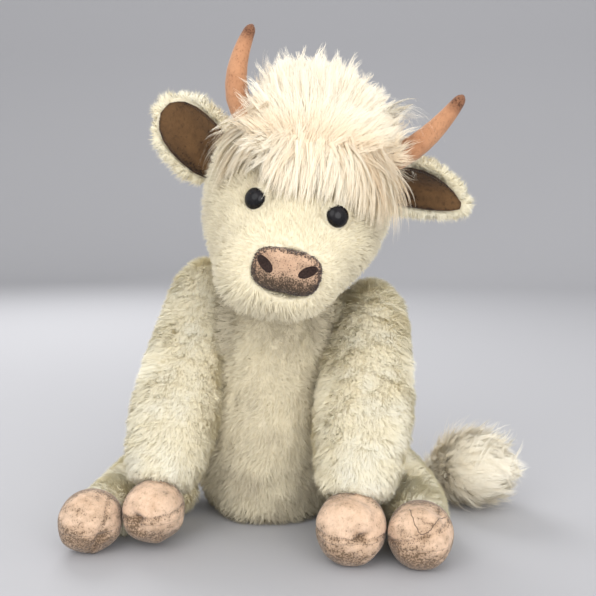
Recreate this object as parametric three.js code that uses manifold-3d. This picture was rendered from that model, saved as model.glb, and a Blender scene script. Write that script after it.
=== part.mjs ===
// A plush calf of a shaggy highland breed, sitting on the floor with its legs out in front.
// Millimetres, +Z up. The face looks along -Y, and the cow's own left is +X.
// The origin is the centre of the seat, on the floor.
import * as THREE from 'three';
import { mergeVertices } from 'three/addons/utils/BufferGeometryUtils.js';
import Module from 'manifold-3d';

const wasm = await Module();
wasm.setup();

// Clearances, cuts and counts
const clearance = 0.3;
const swingClearance = 1.6;
const overrun = 2;
const floorFlat = 0.5;
const cutSize = 730;
const bodySides = 22;
const limbSides = 18;
const trimSides = 14;
const roundSides = 20;

// Torso: a stuffed pear that leans toward its left as it rises
const torsoHeight = 182;
const torsoHalfWidth = 54;
const torsoHalfDepth = 58;
const torsoForward = 5;
const torsoLean = 16;
// height, width, depth, forward and lean of each ring
const torsoShares = [
  [0.00, 0.66, 0.66, 0.00, 0.00],
  [0.04, 0.84, 0.83, 0.00, 0.00],
  [0.12, 0.96, 0.96, 0.20, 0.00],
  [0.24, 1.00, 1.00, 0.50, 0.00],
  [0.38, 0.96, 0.97, 0.80, 0.08],
  [0.51, 0.88, 0.88, 1.00, 0.22],
  [0.62, 0.82, 0.78, 1.00, 0.34],
  [0.72, 0.80, 0.72, 1.00, 0.44],
  [0.81, 0.74, 0.65, 1.00, 0.58],
  [0.88, 0.63, 0.56, 1.00, 0.74],
  [0.95, 0.48, 0.44, 1.00, 0.88],
  [1.00, 0.32, 0.30, 1.00, 1.00],
];

// Head: placed by its middle, tipped toward the cow's left, with the neck seat under it
const headRise = 24;
const headPlace = [27.5, -26, torsoHeight + headRise];
const headTilt = THREE.MathUtils.degToRad(12);
const headTurn = THREE.MathUtils.degToRad(2);
const headAside = -5;
const headHalfWidth = 60;
const headHalfHeight = 56;
const headFront = 84;
const headBack = 56;
const muzzleDrift = 3;
const headFullPower = 0.86;
const neckBehind = 14;
const neckDrop = 41;
const neckSeatRadius = 36;
// depth (front to back), width, half height, rise and drift of each ring
const headShares = [
  [0.000, 0.24, 0.22, -0.68, 1.0],
  [0.025, 0.42, 0.36, -0.68, 1.0],
  [0.080, 0.56, 0.46, -0.66, 1.0],
  [0.150, 0.63, 0.54, -0.60, 0.9],
  [0.230, 0.71, 0.67, -0.46, 0.6],
  [0.310, 0.81, 0.82, -0.26, 0.3],
  [0.420, 0.92, 0.94, -0.06, 0.0],
  [0.540, 0.97, 1.00, 0.08, 0.0],
  [0.680, 0.97, 0.99, 0.12, 0.0],
  [0.800, 0.88, 0.88, 0.12, 0.0],
  [0.900, 0.71, 0.70, 0.10, 0.0],
  [0.965, 0.48, 0.46, 0.08, 0.0],
  [1.000, 0.20, 0.20, 0.06, 0.0],
];

// Eyes: domed safety eyes with a stem and a washer that grips it inside the head
const eyeSpacing = 48.8;
const eyeForward = 54;
const eyeRise = 0;
const eyeSplay = THREE.MathUtils.degToRad(24);
const eyeRaise = THREE.MathUtils.degToRad(14);
const eyeRadius = 6.3;
const eyeHeight = 4.2;
const eyeDomeAngles = [15, 30, 45, 60, 75];
const eyeStemRadius = 1.8;
const eyeStemLength = 11;
const backingRadius = 7;
const backingThickness = 1;
const backingShift = 1.1;
const washerRadius = 6;
const washerThickness = 1.2;
const washerDepth = 4.5;

// Nose pad and its two nostrils
const nosePlace = [5, -79.5, -36];
const noseHalfSize = [19, 8.5, 12.5];
const nostrilHalfSize = [4.2, 2.6, 3.4];
const nostrilSpacing = 25;
const nostrilRise = 2;
const nostrilForwardShare = 0.72;

// Horns: stuffed suede cones that bend upward, rooted in the crown
const hornBaseRadius = 8;
const hornTipRadius = 3.4;
// position along the horn, base to tip thickness, rounding of the end
const hornShares = [
  [0, 1, 1], [0.2, 1, 1], [0.4, 0.88, 1], [0.58, 0.68, 1], [0.75, 0.42, 1], [0.88, 0.2, 1],
  [0.95, 0.08, 0.9], [0.985, 0, 0.6], [1, 0, 0.2],
];
const horns = {
  right: { root: [-36, -2, 40], bend: [-70, -3, 54], tip: [-57, 3, 105] },
  left: { root: [36, -4, 34], bend: [64, -6, 44], tip: [81.5, -16, 85.5] },
};

// Ears: cupped leaves, fur behind and a thin suede lining in the cup
const earThickness = 8;
const earCup = 7;
const earFlatPower = 0.5;
const liningThickness = 1.6;
const liningInset = 7.5;
const earLengthwiseShares = [0, 0.14, 0.3, 0.46, 0.62, 0.76, 0.88, 0.96, 1];
const earWidthShares = [0.42, 0.72, 0.94, 1, 0.99, 0.91, 0.73, 0.48, 0.15];
const ears = {
  right: { root: [-51, 2, 9], length: 70, halfWidth: 24.5, rise: THREE.MathUtils.degToRad(180 - 33) },
  left: { root: [45, 6, 25], length: 62, halfWidth: 19.5, rise: THREE.MathUtils.degToRad(0) },
};

// Forelock: the long mop over the crown and brow
const mopAside = -5;
const mopHalfWidth = 63;
const mopHalfHeight = 43;
const mopFront = 68;
const mopBack = 40;
const mopRise = 52;
// depth (front to back), width, half height and rise of each ring
const mopShares = [
  [0.00, 0.38, 0.18, -0.55],
  [0.06, 0.56, 0.34, -0.50],
  [0.16, 0.76, 0.60, -0.32],
  [0.30, 0.90, 0.86, -0.12],
  [0.48, 0.98, 1.00, 0.00],
  [0.66, 1.00, 1.00, 0.00],
  [0.82, 0.86, 0.86, 0.00],
  [0.93, 0.62, 0.62, -0.06],
  [1.00, 0.32, 0.32, -0.10],
];

// Disc joints: a stem disc in the moving piece, a base disc and a lock washer in the torso
const discRadius = 14;
const discThickness = 2;
const pinRadius = 3;
const skinThickness = 2.5;
const lockRadius = 7;
const lockThickness = 1.6;
const pinTail = 2;

// Forelegs: they hang from the shoulders and reach forward to the floor
const shoulderDrop = 44;
const shoulderSpacing = 68;
const shoulderMiddle = 8;
const shoulderForward = 12;
const forelegs = {
  right: {
    capRise: 31, capOut: 13, capBack: 3, thighOut: 20, kneeOut: 25, kneeForward: 37, kneeDrop: 55,
    topHalfWidth: 22, fullHalfWidth: 30, cuffHalfWidth: 25, halfDepth: 23,
    hoofPlace: [-56.4, -91, 22.4], hoofRadius: 18.5,
  },
  left: {
    capRise: 17, capOut: 23, capBack: 6, thighOut: 27, kneeOut: 26, kneeForward: 40, kneeDrop: 55,
    topHalfWidth: 24, fullHalfWidth: 31, cuffHalfWidth: 24, halfDepth: 23,
    hoofPlace: [63.8, -95, 20.1], hoofRadius: 20.6,
  },
};
// position along the leg, part of the top width and of the cuff width in the mix, round of the end, depth
const forelegShares = [
  [0.00, 1.00, 0.00, 0.34, 0.34],
  [0.04, 1.00, 0.00, 0.62, 0.62],
  [0.11, 1.00, 0.00, 0.90, 0.86],
  [0.22, 0.90, 0.00, 1.00, 1.00],
  [0.36, 0.55, 0.00, 1.00, 1.00],
  [0.52, 0.20, 0.00, 1.00, 1.00],
  [0.67, 0.00, 0.12, 1.00, 0.99],
  [0.79, 0.00, 0.52, 1.00, 0.94],
  [0.89, 0.00, 0.90, 1.00, 0.86],
  [0.95, 0.00, 1.00, 0.92, 0.76],
  [1.00, 0.00, 1.00, 0.70, 0.60],
];

// Hind legs: they lie on the floor, splayed, with the hooves beside the fore hooves
const hipHeight = 34;
const hipSpacing = 88;
const hipForward = 8;
const hindlegs = {
  right: {
    capRise: 0, capOut: 15, capBack: 26, thighOut: 18, kneeOut: 41, kneeForward: 40, kneeDrop: 16,
    topHalfWidth: 22, fullHalfWidth: 22, cuffHalfWidth: 18, halfDepth: 24,
    hoofPlace: [-92.7, -101, 18.1], hoofRadius: 18.6,
  },
  left: {
    capRise: 0, capOut: 20, capBack: 26, thighOut: 25, kneeOut: 53, kneeForward: 36, kneeDrop: 14,
    topHalfWidth: 24, fullHalfWidth: 22, cuffHalfWidth: 19, halfDepth: 25,
    hoofPlace: [103.9, -95, 18.4], hoofRadius: 18.9,
  },
};
const hindlegShares = [
  [0.00, 1.00, 0.00, 0.40, 0.34],
  [0.05, 1.00, 0.00, 0.70, 0.62],
  [0.14, 1.00, 0.00, 0.92, 0.88],
  [0.28, 0.70, 0.00, 1.00, 1.00],
  [0.46, 0.20, 0.10, 1.00, 0.94],
  [0.64, 0.00, 0.60, 1.00, 0.82],
  [0.80, 0.00, 1.00, 1.00, 0.74],
  [0.91, 0.00, 1.00, 0.94, 0.70],
  [1.00, 0.00, 1.00, 0.80, 0.62],
];
const cuffShare = 0.8;

// Hooves: a suede toe over a sole, joined at a level seam
const hoofLengthShare = 1.06;
const seamDropShare = 0.12;

// Tail: a soft rope of fur from the rump round to a tuft on the cow's left
const tailRadius = 7;
const tailRoute = [
  [6, 53, 26], [22, 66, 16], [52, 70, 8], [84, 56, 6.6], [105, 36, 11], [116, 20, 20],
];
const tailSteps = 14;
const tuftStart = [112, 22, 18.6];
const tuftEnd = [169, -6, 31];
const tuftHalfWidth = 26;
const tuftShares = [
  [0, 0.26], [0.14, 0.5], [0.32, 0.86], [0.52, 1], [0.7, 0.94], [0.85, 0.7], [0.95, 0.38], [1, 0.12],
];

// Materials
const furMaterial = new THREE.MeshStandardMaterial({ color: 0xe6dcc3, roughness: 1, metalness: 0 });
const hairMaterial = new THREE.MeshStandardMaterial({ color: 0xf1e7d6, roughness: 0.9, metalness: 0 });
const hoofMaterial = new THREE.MeshStandardMaterial({ color: 0xc29a82, roughness: 0.85, metalness: 0 });
const hornMaterial = new THREE.MeshStandardMaterial({ color: 0xc58a5c, roughness: 0.8, metalness: 0 });
const noseMaterial = new THREE.MeshStandardMaterial({ color: 0xb38473, roughness: 0.85, metalness: 0 });
const liningMaterial = new THREE.MeshStandardMaterial({ color: 0x8a6a50, roughness: 0.75, metalness: 0 });
const darkMaterial = new THREE.MeshStandardMaterial({ color: 0x2a1a16, roughness: 0.9, metalness: 0 });
const eyeMaterial = new THREE.MeshStandardMaterial({ color: 0x070608, roughness: 0.08, metalness: 0 });
const backingMaterial = new THREE.MeshStandardMaterial({ color: 0xe9e4ea, roughness: 0.8, metalness: 0 });
const discMaterial = new THREE.MeshStandardMaterial({ color: 0xd8d6d0, roughness: 0.5, metalness: 0 });

// Geometry helpers
function solid(geometry) {
  const bare = geometry.clone();
  bare.deleteAttribute('normal');
  bare.deleteAttribute('uv');
  const merged = mergeVertices(bare);
  return new wasm.Manifold(new wasm.Mesh({
    numProp: 3,
    vertProperties: new Float32Array(merged.attributes.position.array),
    triVerts: new Uint32Array(merged.index.array),
  }));
}

function skin(manifold) {
  const mesh = manifold.getMesh();
  const geometry = new THREE.BufferGeometry();
  geometry.setAttribute('position', new THREE.BufferAttribute(mesh.vertProperties, 3));
  geometry.setIndex(new THREE.BufferAttribute(mesh.triVerts, 1));
  geometry.computeVertexNormals();
  return geometry;
}

// The main body of a cut form, without the slivers that a cut can leave
function mainBody(manifold) {
  return manifold.decompose().sort((one, other) => other.volume() - one.volume())[0];
}

// Rings of points, each closed on itself, joined into one skin that closes on a pole at either end
function joinRings(rings, firstPole, lastPole) {
  const sides = rings[0].length;
  const firstIndex = rings.length * sides;
  const lastRing = firstIndex - sides;
  const faces = [];
  for (let side = 0; side < sides; side += 1) {
    const next = (side + 1) % sides;
    for (let low = 0; low < lastRing; low += sides) {
      const high = low + sides;
      faces.push(low + side, low + next, high + next, low + side, high + next, high + side);
    }
    faces.push(firstIndex, next, side, firstIndex + 1, lastRing + side, lastRing + next);
  }
  const points = [...rings.flat(), firstPole, lastPole].flatMap((point) => point.toArray());
  const geometry = new THREE.BufferGeometry();
  geometry.setAttribute('position', new THREE.Float32BufferAttribute(points, 3));
  geometry.setIndex(faces);
  return geometry;
}

function bulged(value, power) {
  return Math.sign(value) * Math.abs(value) ** power;
}

// Elliptic rings, each with a centre and two half axes that lead on by the right hand rule.
// A power under 1 fills out their corners.
function loft(rings, sides, power = 1) {
  const outlines = rings.map(({ centre, across, up }) => Array.from({ length: sides }, (_, side) => {
    const turn = (2 * Math.PI * side) / sides;
    return centre.clone()
      .addScaledVector(across, bulged(Math.cos(turn), power))
      .addScaledVector(up, bulged(Math.sin(turn), power));
  }));
  return joinRings(outlines, rings[0].centre, rings[rings.length - 1].centre);
}

function vector(place) {
  return new THREE.Vector3(...place);
}

// A ring square to a route, its first half axis kept level with X
function ringAcross(centre, along, halfWidth, halfDepth) {
  const direction = along.clone().normalize();
  const across = new THREE.Vector3(1, 0, 0);
  across.addScaledVector(direction, -across.dot(direction)).normalize();
  const up = direction.clone().cross(across);
  return { centre, across: across.multiplyScalar(halfWidth), up: up.multiplyScalar(halfDepth) };
}

// A ring square to a route, its second half axis kept upright
function ringUpright(centre, along, halfWidth, halfHeight) {
  const direction = along.clone().normalize();
  const up = new THREE.Vector3(0, 0, 1);
  up.addScaledVector(direction, -up.dot(direction)).normalize();
  const across = up.clone().cross(direction);
  return { centre, across: across.multiplyScalar(halfWidth), up: up.multiplyScalar(halfHeight) };
}

function ellipsoid(halfSize, grow, sides) {
  const geometry = new THREE.SphereGeometry(1, sides, Math.ceil(sides / 2));
  geometry.rotateX(Math.PI / 2);
  geometry.scale(halfSize[0] + grow, halfSize[1] + grow, halfSize[2] + grow);
  return geometry;
}

// A solid turned about +Z from points of radius and height
function turned(profile, sides) {
  const points = profile.map(([radius, height]) => new THREE.Vector2(radius, height));
  const geometry = new THREE.LatheGeometry(points, sides);
  geometry.rotateX(Math.PI / 2);
  return geometry;
}

function disc(radius, low, high, sides = roundSides) {
  return turned([[0, low], [radius, low], [radius, high], [0, high]], sides);
}

function washer(inner, outer, low, high) {
  return turned([[inner, low], [outer, low], [outer, high], [inner, high], [inner, low]], roundSides);
}

// Everything that lies one way from a place
function half(place, way) {
  const middle = place.clone().addScaledVector(way, cutSize / 2);
  return solid(new THREE.BoxGeometry(cutSize, cutSize, cutSize).translate(middle.x, middle.y, middle.z));
}

// Groups: one for each body that moves, placed by its own joint
const cow = new THREE.Group();
const headGroup = new THREE.Group();
headGroup.position.set(...headPlace);
headGroup.rotation.set(0, headTilt, headTurn, 'YZX');
cow.add(headGroup);

const down = new THREE.Vector3(0, 0, -1);
const overhead = new THREE.Vector3(0, 0, 1);

function shifted(geometry, group) {
  group.updateWorldMatrix(true, false);
  return geometry.clone().applyMatrix4(group.matrixWorld);
}

function brought(geometry, from, to) {
  from.updateWorldMatrix(true, false);
  to.updateWorldMatrix(true, false);
  return geometry.clone().applyMatrix4(from.matrixWorld).applyMatrix4(to.matrixWorld.clone().invert());
}

function addPiece(group, name, geometry, material) {
  const mesh = new THREE.Mesh(geometry, material);
  mesh.name = name;
  group.add(mesh);
  return mesh;
}

// Cuts away what lies under the floor
function onFloor(manifold, group) {
  const place = new THREE.Vector3(0, 0, -group.getWorldPosition(new THREE.Vector3()).z);
  return manifold.subtract(half(place, down));
}

// Torso form
function torsoForm(grow) {
  const rings = torsoShares.map(([rise, width, depth, forward, lean]) => ({
    centre: new THREE.Vector3(lean * torsoLean, -forward * torsoForward, rise * torsoHeight - floorFlat),
    across: new THREE.Vector3(width * torsoHalfWidth + grow, 0, 0),
    up: new THREE.Vector3(0, depth * torsoHalfDepth + grow, 0),
  }));
  return loft(rings, bodySides);
}

// Head form, in the head's own frame
function headForm(grow) {
  const length = headFront + headBack;
  const rings = headShares.map(([depth, width, height, rise, drift]) => ({
    centre: new THREE.Vector3(
      headAside + drift * muzzleDrift,
      depth * length - headFront,
      rise * headHalfHeight,
    ),
    across: new THREE.Vector3(0, 0, height * headHalfHeight + grow),
    up: new THREE.Vector3(width * headHalfWidth + grow, 0, 0),
  }));
  rings[0].centre.y -= grow;
  rings[rings.length - 1].centre.y += grow;
  return loft(rings, bodySides, headFullPower);
}

// Disc joint seen from its moving piece: the joint plane is z = 0 and the moving piece lies above it
const jointDepth = skinThickness + discThickness;
const lockDepth = jointDepth + clearance + lockThickness;
const pinDepth = lockDepth + pinTail;

function stemDisc() {
  return turned([
    [0, -pinDepth], [pinRadius, -pinDepth], [pinRadius, skinThickness], [discRadius, skinThickness],
    [discRadius, jointDepth], [0, jointDepth],
  ], roundSides);
}

function baseDisc() {
  return washer(pinRadius + clearance, discRadius, -jointDepth, -skinThickness);
}

function lockWasher() {
  return washer(pinRadius + clearance, lockRadius, -lockDepth, -jointDepth - clearance);
}

function stemPocket() {
  return turned([
    [0, -overrun], [pinRadius + clearance, -overrun], [pinRadius + clearance, skinThickness - clearance],
    [discRadius + clearance, skinThickness - clearance], [discRadius + clearance, jointDepth + clearance],
    [0, jointDepth + clearance],
  ], roundSides);
}

function basePocket() {
  const lockEnd = lockDepth + clearance;
  const pinHole = pinRadius + clearance;
  return turned([
    [0, -pinDepth - clearance], [pinHole, -pinDepth - clearance], [pinHole, -lockEnd],
    [lockRadius + clearance, -lockEnd], [lockRadius + clearance, -jointDepth - clearance],
    [discRadius + clearance, -jointDepth - clearance], [discRadius + clearance, clearance - skinThickness],
    [pinHole, clearance - skinThickness], [pinHole, overrun], [0, overrun],
  ], roundSides);
}

// A group whose z axis leaves the torso along a joint
function jointGroup(parent, place, direction) {
  const group = new THREE.Group();
  group.position.copy(place);
  group.quaternion.setFromUnitVectors(overhead, direction);
  parent.add(group);
  return group;
}

function addJointPieces(group, name) {
  addPiece(group, `${name}_stem_disc`, stemDisc(), discMaterial);
  addPiece(group, `${name}_base_disc`, baseDisc(), discMaterial);
  addPiece(group, `${name}_lock_washer`, lockWasher(), discMaterial);
}

let torsoSolid = solid(torsoForm(0));

// Neck: the head sits on a flat seat square to its own upright
const neckPlace = new THREE.Vector3(0, neckBehind, -neckDrop);
const neckJoint = jointGroup(headGroup, neckPlace, overhead);
const neckTop = solid(shifted(disc(torsoHeight, -clearance, torsoHeight), neckJoint));
torsoSolid = torsoSolid.subtract(neckTop);
torsoSolid = torsoSolid.subtract(solid(shifted(basePocket(), neckJoint)));
addJointPieces(neckJoint, 'neck');

// Legs: each path is given from the joint, and ends a little before the middle of the hoof
function legPath(leg, side, pivot, shares) {
  const hoof = vector(leg.hoofPlace).sub(pivot);
  const knee = new THREE.Vector3(side * leg.kneeOut, -leg.kneeForward, -leg.kneeDrop);
  const curve = new THREE.CatmullRomCurve3([
    new THREE.Vector3(side * leg.capOut, leg.capBack, leg.capRise),
    new THREE.Vector3(side * (leg.thighOut ?? leg.capOut), 0, 0),
    knee,
    knee.clone().lerp(hoof, cuffShare),
  ]);
  return { pivot, hoof, curve, shares };
}

function legForm(leg, path, grow) {
  const rings = path.shares.map(([at, top, cuff, round, depth]) => {
    const full = (1 - top - cuff) * leg.fullHalfWidth;
    const halfWidth = (top * leg.topHalfWidth + cuff * leg.cuffHalfWidth + full) * round + grow;
    const halfDepth = leg.halfDepth * depth + grow;
    return ringAcross(path.curve.getPointAt(at), path.curve.getTangentAt(at), halfWidth, halfDepth);
  });
  return loft(rings, limbSides);
}

function hoofForm({ leg, path }, grow) {
  const halfSize = [leg.hoofRadius, leg.hoofRadius * hoofLengthShare, leg.hoofRadius];
  return ellipsoid(halfSize, grow, limbSides).translate(path.hoof.x, path.hoof.y, path.hoof.z);
}

const legs = [];
function addLeg(name, side, leg, pivot, shares) {
  legs.push({ name, side, leg, path: legPath(leg, side, pivot, shares) });
}
[['right', -1], ['left', 1]].forEach(([name, side]) => {
  const shoulderAside = shoulderMiddle + (side * shoulderSpacing) / 2;
  const shoulder = new THREE.Vector3(shoulderAside, -shoulderForward, torsoHeight - shoulderDrop);
  const hip = new THREE.Vector3((side * hipSpacing) / 2, -hipForward, hipHeight);
  addLeg(`foreleg_${name}`, side, forelegs[name], shoulder, forelegShares);
  addLeg(`hindleg_${name}`, side, hindlegs[name], hip, hindlegShares);
});

legs.forEach((entry) => {
  entry.group = new THREE.Group();
  entry.group.position.copy(entry.path.pivot);
  cow.add(entry.group);
  entry.joint = jointGroup(entry.group, new THREE.Vector3(0, 0, 0), new THREE.Vector3(entry.side, 0, 0));
  entry.seatRadius = entry.leg.halfDepth + skinThickness;
  const seat = disc(entry.seatRadius + swingClearance, -clearance, torsoHalfWidth);
  torsoSolid = torsoSolid.subtract(solid(shifted(seat, entry.joint)));
  torsoSolid = torsoSolid.subtract(solid(shifted(basePocket(), entry.joint)));
});

legs.forEach((entry) => {
  const { name, leg, path, group, joint } = entry;
  const fromJoint = (geometry) => solid(brought(geometry, joint, group));
  const seatOutside = fromJoint(disc(entry.seatRadius, 0, torsoHalfWidth));
  const seatInside = fromJoint(disc(entry.seatRadius + clearance, -torsoHalfWidth, 0));
  let form = solid(legForm(leg, path, 0));
  form = form.subtract(solid(brought(torsoForm(swingClearance), cow, group)).subtract(seatOutside));
  form = form.subtract(seatInside).subtract(fromJoint(stemPocket()));
  const foreleg = legs.find((other) => other.name === name.replace('hind', 'fore'));
  if (foreleg !== entry) {
    const fromForeleg = (geometry) => solid(brought(geometry, foreleg.group, group));
    form = form.subtract(fromForeleg(legForm(foreleg.leg, foreleg.path, swingClearance)));
    form = form.subtract(fromForeleg(hoofForm(foreleg, swingClearance)));
  }
  addPiece(group, name, skin(mainBody(onFloor(form, group))), furMaterial);
  addJointPieces(joint, name);

  const whole = onFloor(solid(hoofForm(entry, 0)), group).subtract(solid(legForm(leg, path, clearance)));
  const seam = path.hoof.clone();
  seam.z -= leg.hoofRadius * seamDropShare;
  addPiece(group, `${name}_hoof`, skin(whole.subtract(half(seam, down))), hoofMaterial);
  seam.z -= clearance;
  addPiece(group, `${name}_sole`, skin(whole.subtract(half(seam, overhead))), hoofMaterial);
});

addPiece(cow, 'torso', skin(onFloor(torsoSolid, cow)), furMaterial);

// Head and what it carries
let headSolid = solid(headForm(0));
const neckSocket = solid(brought(disc(neckSeatRadius, -neckSeatRadius, 0), neckJoint, headGroup));
headSolid = headSolid.subtract(neckSocket).subtract(solid(brought(stemPocket(), neckJoint, headGroup)));

const noseForm = (grow) => ellipsoid(noseHalfSize, grow, bodySides).translate(...nosePlace);
headSolid = headSolid.subtract(solid(noseForm(clearance)));
let noseSolid = solid(noseForm(0));

[['right', -1], ['left', 1]].forEach(([name, side]) => {
  const nostril = (grow) => ellipsoid(nostrilHalfSize, grow, trimSides).translate(
    nosePlace[0] + (side * nostrilSpacing) / 2,
    nosePlace[1] - noseHalfSize[1] * nostrilForwardShare,
    nosePlace[2] + nostrilRise,
  );
  noseSolid = noseSolid.subtract(solid(nostril(clearance)));
  addPiece(headGroup, `nostril_${name}`, nostril(0), darkMaterial);

  const look = new THREE.Vector3(
    side * Math.sin(eyeSplay) * Math.cos(eyeRaise),
    -Math.cos(eyeSplay) * Math.cos(eyeRaise),
    Math.sin(eyeRaise),
  );
  const eyePlace = new THREE.Vector3((side * eyeSpacing) / 2, -eyeForward, eyeRise);
  const eyeGroup = jointGroup(headGroup, eyePlace, look);
  const dome = [[0, -eyeStemLength], [eyeStemRadius, -eyeStemLength], [eyeStemRadius, 0], [eyeRadius, 0]];
  eyeDomeAngles.forEach((degrees) => {
    const angle = THREE.MathUtils.degToRad(degrees);
    dome.push([eyeRadius * Math.cos(angle), eyeHeight * Math.sin(angle)]);
  });
  dome.push([0, eyeHeight]);
  addPiece(eyeGroup, `eye_${name}`, turned(dome, roundSides), eyeMaterial);

  const backingLow = -clearance - backingThickness;
  const backing = solid(disc(backingRadius, backingLow, -clearance).translate(0, -backingShift, 0));
  const stemHole = solid(disc(eyeStemRadius + clearance, -eyeStemLength, overrun, trimSides));
  addPiece(eyeGroup, `eye_backing_${name}`, skin(backing.subtract(stemHole)), backingMaterial);

  const washerLow = -washerDepth - washerThickness;
  const eyeWasher = washer(eyeStemRadius + clearance, washerRadius, washerLow, -washerDepth);
  addPiece(eyeGroup, `eye_washer_${name}`, eyeWasher, discMaterial);

  const seatRadius = backingRadius + backingShift + clearance;
  const stemHoleRadius = eyeStemRadius + clearance;
  const eyePocket = turned([
    [0, -eyeStemLength - clearance], [stemHoleRadius, -eyeStemLength - clearance],
    [stemHoleRadius, washerLow - clearance], [washerRadius + clearance, washerLow - clearance],
    [washerRadius + clearance, clearance - washerDepth], [stemHoleRadius, clearance - washerDepth],
    [stemHoleRadius, backingLow - clearance], [seatRadius, backingLow - clearance],
    [seatRadius, eyeRadius], [0, eyeRadius],
  ], roundSides);
  headSolid = headSolid.subtract(solid(brought(eyePocket, eyeGroup, headGroup)));
});
addPiece(headGroup, 'nose_pad', skin(noseSolid), noseMaterial);

// A cupped leaf along +X that faces -Y, with flat faces and a thin rim
function leaf(length, halfWidth, thickness, offset, grow) {
  const bow = (across) => earCup * (1 - (across / halfWidth) ** 2);
  const rings = earLengthwiseShares.map((at, index) => Array.from({ length: trimSides }, (_, side) => {
    const turn = (2 * Math.PI * side) / trimSides;
    const across = (halfWidth * earWidthShares[index] + grow) * Math.cos(turn);
    const face = bulged(Math.sin(turn), earFlatPower);
    return new THREE.Vector3(at * length, bow(across) - offset - (thickness / 2 + grow) * face, across);
  }));
  const firstPole = new THREE.Vector3(-grow, bow(0) - offset, 0);
  const lastPole = new THREE.Vector3(length + grow, bow(0) - offset, 0);
  return joinRings(rings, firstPole, lastPole);
}

function hornForm(horn, grow) {
  const curve = new THREE.QuadraticBezierCurve3(vector(horn.root), vector(horn.bend), vector(horn.tip));
  const rings = hornShares.map(([at, blend, round]) => {
    const radius = THREE.MathUtils.lerp(hornTipRadius, hornBaseRadius, blend) * round + grow;
    return ringAcross(curve.getPointAt(at), curve.getTangentAt(at), radius, radius);
  });
  return loft(rings, trimSides);
}

function mopForm(grow) {
  const length = mopFront + mopBack;
  const rings = mopShares.map(([depth, width, height, rise]) => ({
    centre: new THREE.Vector3(mopAside, depth * length - mopFront, mopRise + rise * mopHalfHeight),
    across: new THREE.Vector3(0, 0, height * mopHalfHeight + grow),
    up: new THREE.Vector3(width * mopHalfWidth + grow, 0, 0),
  }));
  return loft(rings, bodySides);
}

const aroundHead = headForm(clearance);
let mopSolid = solid(mopForm(0)).subtract(solid(aroundHead));
['right', 'left'].forEach((name) => {
  const horn = horns[name];
  const aroundHorn = hornForm(horn, clearance);
  const hornSolid = solid(hornForm(horn, 0)).subtract(solid(aroundHead));
  addPiece(headGroup, `horn_${name}`, skin(mainBody(hornSolid)), hornMaterial);
  mopSolid = mopSolid.subtract(solid(aroundHorn));

  const ear = ears[name];
  const earGroup = new THREE.Group();
  earGroup.position.set(...ear.root);
  earGroup.rotation.y = -ear.rise;
  headGroup.add(earGroup);
  const toHead = (geometry) => solid(brought(geometry, earGroup, headGroup));
  const fromHead = (geometry) => solid(brought(geometry, headGroup, earGroup));
  const taken = fromHead(aroundHead).add(fromHead(aroundHorn));
  const earForm = (grow) => leaf(ear.length, ear.halfWidth, earThickness, 0, grow);
  addPiece(earGroup, `ear_${name}`, skin(mainBody(solid(earForm(0)).subtract(taken))), furMaterial);

  const liningOffset = earThickness / 2 + clearance + liningThickness / 2;
  const liningLength = ear.length - liningInset;
  const liningHalfWidth = ear.halfWidth - liningInset;
  const liningForm = (grow) => leaf(liningLength, liningHalfWidth, liningThickness, liningOffset, grow);
  const liningSolid = solid(liningForm(0)).subtract(taken);
  addPiece(earGroup, `ear_lining_${name}`, skin(mainBody(liningSolid)), liningMaterial);
  mopSolid = mopSolid.subtract(toHead(earForm(clearance))).subtract(toHead(liningForm(clearance)));
});
addPiece(headGroup, 'forelock', skin(mainBody(mopSolid)), hairMaterial);
addPiece(headGroup, 'head', skin(mainBody(headSolid)), furMaterial);

// Tail and its tuft
const tailCurve = new THREE.CatmullRomCurve3(tailRoute.map(vector));
const tuftCurve = new THREE.LineCurve3(vector(tuftStart), vector(tuftEnd));

function tailForm(grow) {
  const rings = Array.from({ length: tailSteps + 1 }, (_, step) => {
    const at = step / tailSteps;
    const radius = tailRadius + grow;
    return ringUpright(tailCurve.getPointAt(at), tailCurve.getTangentAt(at), radius, radius);
  });
  return loft(rings, trimSides);
}

function tuftForm() {
  const along = tuftCurve.getTangent(0);
  const rings = tuftShares.map(([at, width]) => {
    const radius = tuftHalfWidth * width;
    return ringUpright(tuftCurve.getPoint(at), along, radius, radius);
  });
  return loft(rings, limbSides);
}

const tailSolid = solid(tailForm(0)).subtract(solid(torsoForm(clearance)));
const tuftSolid = solid(tuftForm()).subtract(solid(tailForm(clearance)));
addPiece(cow, 'tail', skin(mainBody(onFloor(tailSolid, cow))), furMaterial);
addPiece(cow, 'tail_tuft', skin(mainBody(onFloor(tuftSolid, cow))), hairMaterial);

export default cow;
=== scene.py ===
"""How the plush calf looks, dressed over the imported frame. Metres, +Z up, the face looks along -Y.
Named places and sizes are in mm, and those of the face, horns, ears and hair are in the head's own frame."""

import math

import bpy
import numpy as np
from mathutils import Matrix, Vector
from mathutils.bvhtree import BVHTree
from mathutils.kdtree import KDTree


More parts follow.
